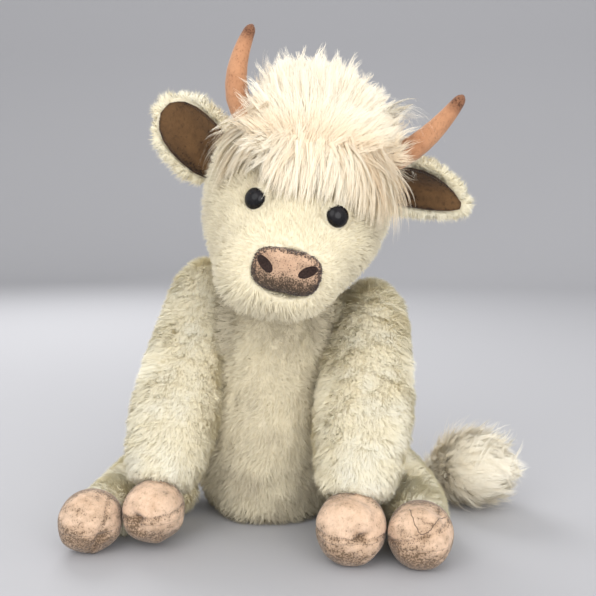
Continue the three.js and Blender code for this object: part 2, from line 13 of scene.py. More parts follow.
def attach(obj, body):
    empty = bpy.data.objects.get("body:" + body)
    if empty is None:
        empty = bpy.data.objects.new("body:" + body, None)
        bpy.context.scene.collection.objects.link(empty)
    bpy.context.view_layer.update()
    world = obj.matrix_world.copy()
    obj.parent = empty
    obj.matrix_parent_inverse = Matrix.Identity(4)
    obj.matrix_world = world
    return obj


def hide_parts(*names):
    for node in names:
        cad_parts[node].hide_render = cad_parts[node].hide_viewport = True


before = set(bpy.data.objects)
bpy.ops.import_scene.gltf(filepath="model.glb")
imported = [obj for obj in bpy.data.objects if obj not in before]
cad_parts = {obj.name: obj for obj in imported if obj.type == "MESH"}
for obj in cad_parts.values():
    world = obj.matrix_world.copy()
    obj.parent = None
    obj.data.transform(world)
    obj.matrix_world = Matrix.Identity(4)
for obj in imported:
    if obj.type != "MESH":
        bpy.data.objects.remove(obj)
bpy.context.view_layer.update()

MM = 0.001
UP = np.array([0.0, 0.0, 1.0])
PHOTO_WIDTH = 596
FOCAL_PIXELS = 850
CAMERA_PLACE = (99.5, -571.7, 210)
MOST_FACES = 199000
FLOOR_GAP = 0.6
ROUNDING = 0.85
SEAT = 19
LEGS = {
    "foreleg_right": {"pivot": (-26, -12, 138), "hoof": (-56.4, -91, 22.4), "radius": 18.5},
    "foreleg_left": {"pivot": (42, -12, 138), "hoof": (63.8, -95, 20.1), "radius": 20.6},
    "hindleg_right": {"pivot": (-44, -8, 34), "hoof": (-92.7, -101, 18.1), "radius": 18.6},
    "hindleg_left": {"pivot": (44, -8, 34), "hoof": (103.9, -95, 18.4), "radius": 18.9},
}
HEAD = (
    Matrix.Translation((27.5 * MM, -26 * MM, 206 * MM))
    @ Matrix.Rotation(math.radians(12), 4, "Y")
    @ Matrix.Rotation(math.radians(2), 4, "Z")
)
HEAD_BACK = HEAD.inverted()

# how pile stands: the area of a clump in square mm, the curl and width of a strand in mm, how far clumps draw
# together and strands stray, the angles from the skin's normal at root and tip, how clumps round off, and how
# much painted shade darkens the gaps between them
PILE = {
    "leg": dict(clump_area=9, curl=0.4, tight=0.24, frizz=0.42, rise=16, fall=64, width=0.34, dome=0.24,
                lump=0.22, gap_shade=0.02),
    "torso": dict(clump_area=9, curl=0.4, tight=0.28, frizz=0.5, rise=16, fall=64, width=0.38, dome=0.26,
                  lump=0.35, gap_shade=0.05),
    "crease": dict(clump_area=9, curl=0.4, tight=0.2, frizz=0.5, rise=10, fall=52, width=0.4, gap_shade=0.0),
    "head": dict(clump_area=9, curl=0.5, tight=0.3, frizz=0.45, rise=22, fall=76, width=0.36, dome=0.22,
                 lump=0.4, gap_shade=0.05),
    "ear": dict(clump_area=10, curl=0.6, tight=0.3, frizz=0.7, rise=26, fall=70, width=0.36, gap_shade=0.04,
                uneven=0.5),
    "tail": dict(clump_area=10, curl=1.0, tight=0.45, frizz=0.4, rise=25, fall=82, width=0.5, gap_shade=0.14),
    "crown": dict(clump_area=12, curl=0.7, tight=0.3, frizz=0.3, rise=36, fall=78, width=0.32, dome=0.1,
                  lump=0.2, gap_shade=0.03, uneven=0.6, steps=4),
    "tuft": dict(clump_area=10, curl=0.9, tight=0.35, frizz=0.4, rise=24, fall=70, width=0.32, gap_shade=0.03,
                 steps=4),
}


# arrays and meshes

def mm(*values):
    return np.array(values, float) * MM


def moved(points, matrix):
    """Points through a matrix, as an array."""
    grid = np.array(matrix)
    return points @ grid[:3, :3].T + grid[:3, 3]


def turned(vectors, matrix):
    return vectors @ np.array(matrix)[:3, :3].T


def in_head(points):
    """Points in the head's own frame, in mm."""
    return moved(points, HEAD_BACK) / MM


def from_head(points):
    return moved(np.asarray(points, float) * MM, HEAD)


def unit(vectors):
    return vectors / np.maximum(np.linalg.norm(vectors, axis=-1, keepdims=True), 1e-12)


def ease(value, low, high):
    """0 below low, 1 above high, and a smooth step between them."""
    share = np.clip((value - low) / (high - low), 0, 1)
    return share * share * (3 - 2 * share)


def fade(value, low, high):
    return 1 - ease(value, low, high)


def spot(gap, width):
    """1 where the gap is 0, with a soft fall to both sides."""
    return np.exp(-(gap / width) ** 2)


def circle(count):
    """Angles evenly round a full turn."""
    return np.linspace(0, 2 * math.pi, count, endpoint=False)


def bezier(a, b, c, count):
    t = np.linspace(0, 1, count)[:, None]
    return (1 - t) ** 2 * a + 2 * t * (1 - t) * b + t ** 2 * c


def waves(points, size, seed, terms=7):
    """A smooth field from about -1 to 1 with features of that size in metres."""
    rng = np.random.default_rng(seed)
    ways = unit(rng.normal(size=(terms, 3))) * rng.uniform(0.6, 1.5, (terms, 1)) * 2 * math.pi / size
    return np.sin(points @ ways.T + rng.uniform(0, 2 * math.pi, terms)).sum(axis=-1) / math.sqrt(terms)


def valued(value, *places):
    """A value for each place, from a number or from a function of the places."""
    return value(*places) if callable(value) else np.full(len(places[0]), float(value))


def mesh_from(name, points, faces):
    mesh = bpy.data.meshes.new(name)
    mesh.from_pydata([tuple(p) for p in points], [], [tuple(f) for f in faces])
    mesh.validate()
    mesh.update()
    mesh.shade_smooth()
    return mesh


def read(mesh):
    """Points, normals and triangles of a mesh."""
    points = np.empty(len(mesh.vertices) * 3, np.float32)
    normals = np.empty(len(mesh.vertices) * 3, np.float32)
    mesh.vertices.foreach_get("co", points)
    mesh.vertices.foreach_get("normal", normals)
    mesh.calc_loop_triangles()
    corners = np.empty(len(mesh.loop_triangles) * 3, np.int32)
    mesh.loop_triangles.foreach_get("vertices", corners)
    return points.reshape(-1, 3).astype(float), normals.reshape(-1, 3).astype(float), corners.reshape(-1, 3)


def shift(mesh, change):
    """Moves the points of a mesh by an array of offsets."""
    points = read(mesh)[0] + change
    mesh.vertices.foreach_set("co", points.astype(np.float32).ravel())
    mesh.update()


def modified(mesh, *steps):
    """The mesh after a few modifiers, each a kind and its settings."""
    carrier = bpy.data.objects.new("work", mesh)
    bpy.context.scene.collection.objects.link(carrier)
    for kind, settings in steps:
        modifier = carrier.modifiers.new(kind, kind)
        for key, value in settings.items():
            setattr(modifier, key, value)
    bpy.context.view_layer.update()
    done = bpy.data.meshes.new_from_object(carrier.evaluated_get(bpy.context.evaluated_depsgraph_get()))
    bpy.data.objects.remove(carrier)
    done.shade_smooth()
    return done


def piece(name, mesh, material, body, nodes=()):
    """A mesh as a piece that rides on a body, with its finish and the nodes that it stands for."""
    thing = bpy.data.objects.new(name, mesh)
    bpy.context.scene.collection.objects.link(thing)
    mesh.materials.clear()
    mesh.materials.append(material)
    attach(thing, body)
    if nodes:
        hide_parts(*nodes)
    return thing


def cloth_over(names, inset, voxel=3, rounds=10):
    """One smooth skin round these solids, drawn in by inset, in mm, a number or a function of place."""
    points, faces = [], []
    for name in names:
        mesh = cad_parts[name].data
        start = len(points)
        points.extend(v.co for v in mesh.vertices)
        faces.extend([start + i for i in polygon.vertices] for polygon in mesh.polygons)
    mesh = mesh_from("skin", points, faces)
    mesh = modified(mesh, ("REMESH", {"mode": "VOXEL", "voxel_size": voxel * MM}),
                    ("SMOOTH", {"factor": 0.5, "iterations": rounds}))
    at, normals, _ = read(mesh)
    shift(mesh, -normals * valued(inset, at)[:, None] * MM)
    return modified(mesh, ("SMOOTH", {"factor": 0.5, "iterations": 3}))


def patch(name, rings, material, body, nodes, shade=None):
    """A closed piece from rings of points that share a count, with a pole at either end."""
    sides, count = len(rings[1]), len(rings) - 2
    points = np.vstack(rings)
    last = 1 + (count - 1) * sides
    faces = []
    for side in range(sides):
        after = (side + 1) % sides
        faces.append((0, 1 + after, 1 + side))
        for low in range(1, last, sides):
            faces.append((low + side, low + after, low + sides + after, low + sides + side))
        faces.append((len(points) - 1, last + side, last + after))
    mesh = mesh_from(name, points, faces)
    at, _, corners = read(mesh)
    a, b, c = (at[corners[:, i]] for i in range(3))
    if (a * np.cross(b, c)).sum() < 0:
        mesh.flip_normals()
        mesh.update()
    if shade is not None:
        layer = mesh.attributes.new("shade", "FLOAT", "POINT")
        layer.data.foreach_set("value", np.clip(shade(points), 0, 1).astype(np.float32))
    return piece(name, mesh, material, body, nodes)


def round_rings(profile, sides, matrix):
    """Rings of a round body about its own z, from points of radius and height in mm, for a patch."""
    turn = circle(sides)
    rings = [np.stack([radius * np.cos(turn), radius * np.sin(turn), height + 0 * turn], axis=1)
             for radius, height in profile]
    return [moved(ring * MM, matrix) for ring in [rings[0][0]] + rings[1:-1] + [rings[-1][0]]]


def tubes(name, paths, radius, body, sides=6):
    """Short closed threads, each a tube along a few points, as one piece."""
    points, faces = [], []
    turn = circle(sides)[:, None]
    guide = np.array([0.31, 0.52, 0.79])
    for path in paths:
        path = np.asarray(path, float)
        start, last = len(points), len(points) + (len(path) - 1) * sides
        for middle, way in zip(path, unit(np.gradient(path, axis=0))):
            one = unit(np.cross(way, guide))
            points.extend(middle + radius * (np.cos(turn) * one + np.sin(turn) * np.cross(way, one)))
        for low in range(start, last, sides):
            for side in range(sides):
                after = (side + 1) % sides
                faces.append((low + side, low + after, low + sides + after, low + sides + side))
        faces += [range(start + sides - 1, start - 1, -1), range(last, last + sides)]
    return piece(name, mesh_from(name, points, faces), THREAD, body)


# strands

def scatter(mesh, count, rng, chance=None):
    """Random places on a mesh with their normals, even by area, thinned where chance says."""
    points, normals, corners = read(mesh)
    a, b, c = (points[corners[:, i]] for i in range(3))
    area = np.linalg.norm(np.cross(b - a, c - a), axis=1)
    pick = rng.choice(len(area), count, p=area / area.sum())
    root, split = np.sqrt(rng.random(count)), rng.random(count)
    shares = np.stack([1 - root, root * (1 - split), root * split], axis=1)
    place = np.einsum("ij,ijk->ik", shares, points[corners[pick]])
    normal = unit(np.einsum("ij,ijk->ik", shares, normals[corners[pick]]))
    if chance is not None:
        kept = rng.random(count) < chance(place, normal)
        place, normal = place[kept], normal[kept]
    return place, normal


def combed(lay, normals, frizz, rng):
    """Ways along the skin that follow the lay, each turned a little."""
    lay = lay + rng.normal(0, frizz, normals.shape)
    return unit(lay - (lay * normals).sum(1, keepdims=True) * normals)


def swirl(points, way, size, seed, most):
    """A way turned here and there, so that the pile lies in whorls."""
    sideways = np.cross(way, unit(points - points.mean(axis=0)))
    return way + sideways * (waves(points, size, seed) * most)[:, None]


def grow(roots, normals, lay, length, rng, clumps, rise, fall, frizz, tight, curl,
         steps=3, dome=0.3, lump=0.6):
    """Strands that leave the skin at rise degrees from its normal and lie over to fall degrees.
    They gather in clumps that stand as small domes. Returns the strands, their outward ways for
    shading, and how near each is to the edge of its clump."""
    count = len(roots)
    lay = combed(lay, normals, frizz, rng)
    middles = rng.choice(count, clumps, replace=False)
    tree = KDTree(clumps)
    for index, middle in enumerate(middles):
        tree.insert(roots[middle], index)
    tree.balance()
    group = np.array([tree.find(root)[1] for root in roots])
    middle = middles[group]
    offset = roots - roots[middle]
    away = np.linalg.norm(offset, axis=1)
    reach = 2 * away.mean()
    edge = np.minimum(away / reach, 1)
    length = length * (1 - dome * edge ** 2)
    lines = np.empty((count, steps + 1, 3))
    lines[:, 0] = roots - normals * 0.4 * MM
    for step in range(steps):
        angle = math.radians(rise + (fall - rise) * (step + 0.5) / steps)
        way = math.cos(angle) * normals + math.sin(angle) * lay
        lines[:, step + 1] = lines[:, step] + way * (length / steps)[:, None]
    phase = rng.uniform(0, 2 * math.pi, clumps)[group]
    side = np.cross(normals[middle], lay[middle])
    for step in range(1, steps + 1):
        share = step / steps
        pull = (lines[middle, step] - lines[:, step]) * (tight * share ** 1.3)
        swing = phase + 4.5 * share
        bend = side * np.sin(swing)[:, None] + lay[middle] * np.cos(swing)[:, None]
        lines[:, step] += pull + bend * curl * MM * share
    return lines, unit(normals + offset / reach * lump * 1.5), edge


def locks(paths, outward, each, spread, rng, shortest, tip, wave):
    """Strands gathered into pointed locks round each path. Returns them with their outward ways."""
    count, steps, _ = paths.shape
    spread = rng.uniform(*spread, count) * MM
    share = np.linspace(0, 1, steps)
    along = unit(np.gradient(paths, axis=1))
    side = unit(np.cross(along, outward[:, None, :]))
    over = np.cross(side, along)
    angle = rng.uniform(0, 2 * math.pi, (count, each))
    radius = np.sqrt(rng.random((count, each)))
    ends = rng.uniform(shortest, 1, (count, each))
    taper = (1 - share) ** 0.75 * (1 - tip) + tip
    lines = np.empty((count, each, steps, 3))
    phase = rng.uniform(0, 2 * math.pi, (count, each))
    row = np.arange(count)[:, None]
    for step in range(steps):
        at = share[step] * ends * (steps - 1)
        low = np.minimum(at.astype(int), steps - 2)
        mix = (at - low)[..., None]
        middle = paths[row, low] * (1 - mix) + paths[row, low + 1] * mix
        swing = wave * MM * np.sin(phase + 5 * share[step]) * share[step]
        across = radius * np.cos(angle) * spread[:, None] * taper[step] + swing
        rise = radius * np.sin(angle) * spread[:, None] * taper[step] * 0.6
        lines[:, :, step] = middle + side[row, low] * across[..., None] + over[row, low] * rise[..., None]
    return lines.reshape(-1, steps, 3), np.repeat(outward, each, axis=0)


def strands(name, lines, outward, width, tint, body, rng, hair=False, stray=0, widest=1.2):
    """A piece of tapered ribbons, one to a strand. Its map runs root to tip across and by tint upward."""
    width = width * MM * rng.uniform(0.7, widest, len(lines))
    if stray:
        tint = tint + rng.normal(0, stray, len(lines))
    count, levels, _ = lines.shape
    lines[..., 2] = np.maximum(lines[..., 2], FLOOR_GAP * MM)
    along = unit(np.gradient(lines, axis=1))
    side = unit(np.cross(along, outward[:, None, :]))
    share = np.linspace(0, 1, levels)
    half = side[:, :-1] * (width[:, None] * (1 - 0.7 * share[None, :-1]) / 2)[..., None]
    normal = unit(np.cross(side, along) * (1 - ROUNDING) + outward[:, None, :] * ROUNDING)
    each = 2 * (levels - 1) + 1

    def woven(left, right, tip):
        """For each strand both edges of every level, then its tip."""
        rows = np.empty((count, each, 3), np.float32)
        rows[:, 0:-1:2], rows[:, 1:-1:2], rows[:, -1] = left, right, tip
        return rows.reshape(-1, 3)
    points = woven(lines[:, :-1] - half, lines[:, :-1] + half, lines[:, -1])
    normals = woven(normal[:, :-1], normal[:, :-1], normal[:, -1])

    quads = np.array([[2 * i, 2 * i + 1, 2 * i + 3, 2 * i + 2] for i in range(levels - 2)])
    last = 2 * (levels - 2)
    pattern = np.concatenate([quads.ravel(), [last, last + 1, last + 2]])
    loops = (pattern[None, :] + each * np.arange(count)[:, None]).ravel()
    starts = 4 * np.arange(levels - 1)
    starts = (starts[None, :] + len(pattern) * np.arange(count)[:, None]).ravel()

    mesh = bpy.data.meshes.new(name)
    mesh.vertices.add(count * each)
    mesh.vertices.foreach_set("co", points.ravel())
    mesh.loops.add(len(loops))
    mesh.loops.foreach_set("vertex_index", loops.astype(np.int32))
    mesh.polygons.add(len(starts))
    mesh.polygons.foreach_set("loop_start", starts.astype(np.int32))
    mesh.update(calc_edges=True)
    mesh.shade_smooth()
    across = np.append(np.repeat(share[:-1], 2), 1) + np.zeros((count, 1))
    upward = np.repeat((0.01 + 0.97 * np.clip(tint, 0, 1))[:, None], each, axis=1)
    upward[:, 1:-1:2] += 0.006
    chart = np.stack([0.01 + 0.98 * across, upward], axis=-1).reshape(-1, 2)[loops]
    for layer in ("OFBake", "strand"):
        mesh.uv_layers.new(name=layer).data.foreach_set("uv", chart.astype(np.float32).ravel())
    mesh.normals_split_custom_set_from_vertices(normals.tolist())
    return piece(name, mesh, HAIR if hair else CREAM, body)


def coat(name, skin, body, count, length, lay, seed, tint, chance, width, clump_area, gap_shade, uneven=0.75,
         hair=False, avoid=(), against=None, **look):
    """Pile over a skin: length in mm and tint may be numbers or functions of place and normal."""
    rng = np.random.default_rng(seed)
    roots, normals = scatter(skin, count, rng, chance)
    most = MOST_FACES // (2 * look.get("steps", 3) - 1)
    roots, normals = roots[:most], normals[:most]
    long = valued(length, roots, normals) * MM * rng.uniform(uneven, 1.12, len(roots))
    shade = valued(tint, roots, normals)
    shade = shade + 0.06 * waves(roots, 26 * MM, seed + 1) + rng.normal(0, 0.05, len(roots))
    points, _, corners = read(skin)
    a, b, c = (points[corners[:, i]] for i in range(3))
    area = np.linalg.norm(np.cross(b - a, c - a), axis=1).sum() / 2
    clumps = min(max(8, int(area / (clump_area * MM * MM))), len(roots))
    lines, outward, rim = grow(roots, normals, lay(roots, normals), long, rng, clumps, **look)
    # strands at the edge of a clump are tinted darker: painted shade in the gaps between clumps
    shade = shade - gap_shade * rim ** 2
    if against:
        away = lines - against[0]
        lines = against[0] + away * np.maximum(1, against[1] / np.linalg.norm(away, axis=2, keepdims=True))
    kept = np.ones(len(roots), bool)
    for middle, radius in avoid:
        kept &= ~((((lines[:, 1:] - middle) / radius) ** 2).sum(-1) < 1).any(axis=1)
    return strands(name, lines[kept], outward[kept], width, shade[kept], body, rng, hair)


def long_locks(name, core, count, each, body, way, length, seed, tint, rise, chance, tip=0.1,
               spread=(1.0, 2.8)):
    """Locks of long hair grown off a core, laid its way, with their tips a share of their length out."""
    rng = np.random.default_rng(seed)
    roots, normals = scatter(core, count, rng, chance)
    count = len(roots)
    lay = combed(way(roots, normals), normals, 0.2, rng)
    long = (length * MM * rng.uniform(0.6, 1.1, count))[:, None]
    lift = rise * rng.uniform(0.6, 1.3, (count, 1))
    ends = roots + (0.85 * lay + lift * normals) * long
    bulge = roots + (0.3 * lay + (lift + 0.12) * normals) * long
    for group in (bulge, ends):
        group[:, 2] = np.maximum(group[:, 2], 1.5 * MM)
    paths = np.stack([bezier(*trio, 7) for trio in zip(roots - 1.5 * MM * normals, bulge, ends)])
    lines, outward = locks(paths, normals, each, spread, rng, 0.5, tip, 1.2)
    shade = tint(np.repeat(roots, each, axis=0)) + np.repeat(rng.normal(0, 0.05, count), each)
    strands(name, lines, outward, 0.28, shade, body, rng, True, 0.04)


# materials

BLACK, WHITE = (0, 0, 0), (1, 1, 1)


class Paint:
    """A material and short ways to add its nodes."""

    def __init__(self, name, roughness, **sockets):
        self.material = bpy.data.materials.new(name)
        self.material.use_nodes = True
        self.tree = self.material.node_tree
        self.shader = self.tree.nodes["Principled BSDF"]
        self.plug(self.shader, "Roughness", roughness)
        self.plug(self.shader, "Specular IOR Level", sockets.pop("specular", 0.2))
        for socket, value in sockets.items():
            self.plug(self.shader, socket.replace("_", " ").title(), value)

    def plug(self, node, socket, value):
        """Links a value to a socket, or sets it there."""
        if isinstance(value, bpy.types.NodeSocket):
            self.tree.links.new(value, node.inputs[socket])
        else:
            node.inputs[socket].default_value = value

    def node(self, kind, inputs=(), out=0, **settings):
        node = self.tree.nodes.new(kind)
        for key, value in settings.items():
            setattr(node, key, value)
        for socket, value in dict(inputs).items():
            self.plug(node, socket, value)
        return node.outputs[out]

    def noise(self, scale, detail=4, roughness=0.6, stretch=(1, 1, 1), distortion=0.0):
        place = self.node("ShaderNodeTexCoord", out="Object")
        vector = self.node("ShaderNodeMapping", {"Vector": place, "Scale": stretch})
        return self.node("ShaderNodeTexNoise", {"Vector": vector, "Scale": scale, "Detail": detail,
                                                "Roughness": roughness, "Distortion": distortion})

    def ramp(self, factor, *stops):
        node = self.tree.nodes.new("ShaderNodeValToRGB")
        self.tree.links.new(factor, node.inputs["Fac"])
        while len(node.color_ramp.elements) < len(stops):
            node.color_ramp.elements.new(0.5)
        for element, (at, colour) in zip(node.color_ramp.elements, stops):
            element.position = at
            element.color = (*colour, 1)
        return node.outputs["Color"]

    def mix(self, factor, one, other, blend="MIX"):
        node = self.tree.nodes.new("ShaderNodeMix")
        node.data_type = "RGBA"
        node.blend_type = blend
        self.plug(node, 0, factor)
        for socket, value in ((6, one), (7, other)):
            self.plug(node, socket, (*value, 1) if isinstance(value, tuple) else value)
        return node.outputs[2]

    def math(self, operation, *values):
        return self.node("ShaderNodeMath", dict(enumerate(values)), operation=operation)

    def bump(self, height, distance, strength=1.0):
        inputs = {"Height": height, "Distance": distance * MM, "Strength": strength}
        self.plug(self.shader, "Normal", self.node("ShaderNodeBump", inputs))

    def colour(self, value):
        self.plug(self.shader, "Base Color", value)


def strand_paint(name, length_stops, tint_stops, roughness=0.75):
    """Pile whose shade runs from root to tip and whose tint is each strand's own."""
    paint = Paint(name, roughness, sheen_weight=0.12, sheen_roughness=0.5)
    chart = paint.node("ShaderNodeUVMap", out="UV", uv_map="strand")
    parts = paint.tree.nodes.new("ShaderNodeSeparateXYZ")
    paint.tree.links.new(chart, parts.inputs[0])
    shade = paint.ramp(parts.outputs["X"], *length_stops)
    paint.colour(paint.mix(1.0, shade, paint.ramp(parts.outputs["Y"], *tint_stops), "MULTIPLY"))
    return paint.material


def backing_paint(name, low, high):
    """The knitted cloth that the pile stands on."""
    paint = Paint(name, 0.95, sheen_weight=0.1)
    patches = paint.ramp(paint.noise(90, 5, 0.65), (0.3, low), (0.7, high))
    knit = paint.noise(900, 3, 0.7, (1, 1, 0.4))
    paint.colour(paint.mix(0.35, patches, paint.ramp(knit, (0.35, low), (0.65, high))))
    paint.bump(knit, 0.6, 0.8)
    return paint.material


def grain_paint(name, roughness, grain, low, high, depth, strength=1.0, **sockets):
    """Felt, thread or plastic: colour and bump follow one fine noise. Each stop is a place and a colour."""
    paint = Paint(name, roughness, **sockets)
    noise = paint.noise(*grain)
    paint.colour(paint.ramp(noise, low, high))
    paint.bump(noise, depth, strength)
    return paint.material


def suede_paint(name, pale, deep, dark, nap=520, mottle=70, specks=0.61, crinkle=0.5):
    """Napped suedette: pale on the rounds, and deeper and more flecked where the shade attribute says."""
    paint = Paint(name, 0.88, sheen_weight=0.25, sheen_roughness=0.45)
    base = paint.ramp(paint.noise(mottle, 6, 0.7), (0.32, deep), (0.62, pale))
    shade = paint.node("ShaderNodeAttribute", out="Fac", attribute_name="shade")
    base = paint.mix(paint.math("MULTIPLY", shade, 0.62), base, dark)
    fleck = paint.noise(nap, 4, 0.75, (1, 1, 0.7))
    dots = paint.math("MULTIPLY_ADD", shade, 0.26, paint.noise(nap * 1.7, 2, 0.6))
    for share, noise, low, high, colour in (
            (0.8, dots, (specks, BLACK), (specks + 0.1, WHITE), [0.5 * c for c in dark]),
            (0.4, fleck, (0.54, BLACK), (0.66, WHITE), dark),
            (0.3, fleck, (0.3, WHITE), (0.42, BLACK), [min(1, 1.25 * c) for c in pale])):
        base = paint.mix(paint.math("MULTIPLY", paint.ramp(noise, low, high), share), base, tuple(colour))
    paint.colour(base)
    paint.bump(paint.mix(0.5, fleck, paint.noise(230, 4, 0.6, distortion=1.2)), crinkle)
    return paint.material


CREAM = strand_paint("cream_pile",
                     [(0.0, (0.93, 0.9, 0.8)), (0.35, (0.98, 0.97, 0.93)), (1.0, (1.0, 1.0, 0.98))],
                     [(0.0, (0.55, 0.48, 0.36)), (0.3, (0.8, 0.73, 0.56)), (0.6, (0.97, 0.89, 0.69)),
                      (0.85, (1.0, 0.935, 0.75)), (1.0, (1.0, 0.97, 0.86))])
HAIR = strand_paint("long_hair_pile",
                    [(0.0, (0.94, 0.88, 0.8)), (0.3, (0.98, 0.96, 0.92)), (1.0, (1.0, 1.0, 0.99))],
                    [(0.0, (0.72, 0.52, 0.36)), (0.3, (0.92, 0.76, 0.56)), (0.6, (0.98, 0.88, 0.71)),
                     (1.0, (1.0, 0.96, 0.85))], 0.6)
BACKING = backing_paint("pile_backing", (0.74, 0.66, 0.48), (0.88, 0.81, 0.63))
HAIR_BACKING = backing_paint("hair_backing", (0.84, 0.68, 0.52), (0.94, 0.86, 0.74))
HOOF = suede_paint("hoof_suede", (0.8, 0.58, 0.42), (0.62, 0.42, 0.28), (0.2, 0.125, 0.07), nap=560,
                   specks=0.69, crinkle=1.1)
HORN = suede_paint("horn_suede", (0.55, 0.28, 0.15), (0.42, 0.2, 0.105), (0.1, 0.035, 0.02), nap=700,
                   specks=0.76)
NOSE_SUEDE = suede_paint("nose_suede", (0.6, 0.4, 0.27), (0.46, 0.29, 0.19), (0.045, 0.032, 0.02), nap=680)
LINING = suede_paint("ear_suede", (0.145, 0.077, 0.032), (0.09, 0.046, 0.019), (0.016, 0.009, 0.005),
                     nap=420, mottle=45, specks=0.7, crinkle=0.8)
THREAD = grain_paint("dark_thread", 0.7, (1400, 3, 0.6, (1, 0.4, 1)), (0.35, (0.035, 0.02, 0.015)),
                     (0.7, (0.09, 0.055, 0.04)), 0.2, 0.8, sheen_weight=0.2)
EYE_WHITE = grain_paint("eye_white", 0.95, (900, 5, 0.8), (0.3, (0.66, 0.62, 0.66)),
                        (0.7, (0.86, 0.84, 0.87)), 0.4, sheen_weight=0.4)
DARK_FELT = grain_paint("dark_felt", 0.95, (1000, 4, 0.7), (0.3, (0.012, 0.006, 0.005)),
                        (0.72, (0.05, 0.028, 0.022)), 0.4, sheen_weight=0.15)


# camera, lights and stage

def add_camera():
    data = bpy.data.cameras.new("camera")
    data.sensor_width = 36
    data.lens = FOCAL_PIXELS / PHOTO_WIDTH * data.sensor_width
    camera = bpy.data.objects.new("camera", data)
    bpy.context.scene.collection.objects.link(camera)
    camera.location = mm(*CAMERA_PLACE)
    camera.rotation_euler = (math.radians(90 - 6.6), 0, math.radians(8))
    bpy.context.scene.camera = camera


def add_light(name, place, target, size, energy):
    data = bpy.data.lights.new(name, "AREA")
    data.shape = "DISK"
    data.size = size
    data.energy = energy
    light = bpy.data.objects.new(name, data)
    bpy.context.scene.collection.objects.link(light)
    light.location = place
    light.rotation_euler = (Vector(target) - Vector(place)).to_track_quat("-Z", "Y").to_euler()


def add_stage():
    """A pale floor that curves up behind into a backdrop, in metres."""
    depth, width, rise, bend = 2.2, 3.0, 2.2, 0.7
    profile = [(-depth, 0.0)]
    for step in range(17):
        angle = math.pi / 2 * step / 16
        profile.append((depth - bend + bend * math.sin(angle), bend - bend * math.cos(angle)))
    profile.append((depth, rise))
    points = [(x, y, z) for y, z in profile for x in (-width, width)]
    faces = [(2 * i, 2 * i + 1, 2 * i + 3, 2 * i + 2) for i in range(len(profile) - 1)]
    mesh = mesh_from("floor", points, faces)
    paint = Paint("floor_paint", 0.9)
    paint.colour((0.46, 0.46, 0.48, 1))
    mesh.materials.append(paint.material)
    floor = bpy.data.objects.new("floor", mesh)
    bpy.context.scene.collection.objects.link(floor)


def add_world():
    world = bpy.data.worlds.new("world")
    world.use_nodes = True
    sky = world.node_tree.nodes["Background"]
    sky.inputs["Color"].default_value = (1, 1, 1, 1)
    sky.inputs["Strength"].default_value = 0.9
    bpy.context.scene.world = world


# legs and torso

def near_joint(points, leg, flat):
    """1 at a leg's seat and 0 past it, from the distance to its joint's axis and plane."""
    away = points - mm(*leg["pivot"])
    radial = np.hypot(away[:, 1], away[:, 2]) / MM
    return fade(radial, flat, flat + 8) * fade(np.abs(away[:, 0]) / MM, 3, 9)


def add_legs():
    for seed, (name, leg) in enumerate(LEGS.items()):
        pivot, hoof, radius = mm(*leg["pivot"]), mm(*leg["hoof"]), leg["radius"]
        out = 1 if name.endswith("left") else -1
        skin = cloth_over([name, name + "_stem_disc"], lambda at: 2.4 - 1.4 * near_joint(at, leg, 42))
        at, normals, _ = read(skin)
        free = 1 - near_joint(at, leg, 30)
        shift(skin, normals * (free * waves(at, 12 * MM, 90 + seed) * 0.5 * MM)[:, None])
        if name == "hindleg_right":
            x, y, z = (read(skin)[0] / MM).T
            inner = ease(x, -92, -70) * fade(z, 14, 32) * (ease(y, -88, -66) * fade(y, -34, -20))
            shift(skin, inner[:, None] * mm(14, -6, -2))
        piece(name + "_cloth", skin, BACKING, name, [name])

        def lay(points, normals):
            toward = unit(hoof - pivot) + 0 * points
            from_hoof = points - hoof
            close = fade(np.linalg.norm(from_hoof, axis=1), radius * MM, (radius + 14) * MM)
            return swirl(points, toward, 34 * MM, 40 + seed, 0.7) + unit(from_hoof) * (0.8 * close)[:, None]

        def length(points, normals):
            close = np.linalg.norm(points - hoof, axis=1) / MM
            seat = near_joint(points, leg, 28)
            return 8 * (0.6 + 0.4 * ease(close, radius, radius + 12)) * (1 - 0.5 * seat)

        def tint(points, normals):
            high = ease(points[:, 2] / MM, 40, 130)
            # the upper leg and the side that faces the body are tinted darker: painted shade under the head
            # and beside the body
            return 0.94 - 0.05 * high - 0.14 * ease(-normals[:, 0] * out, 0.2, 0.9)

        for part, sign in (("outer", 1), ("inner", -1)):
            def chance(points, normals):
                return (normals[:, 0] * out * sign > 0) * (1 - near_joint(points, leg, SEAT))
            count = 84000 if name.startswith("fore") else 60000
            coat(f"{name}_fur_{part}", skin, name, count, length, lay, 11 + 2 * seed + sign, tint, chance,
                 against=(hoof, (radius + 0.6) * MM), **PILE["leg"])


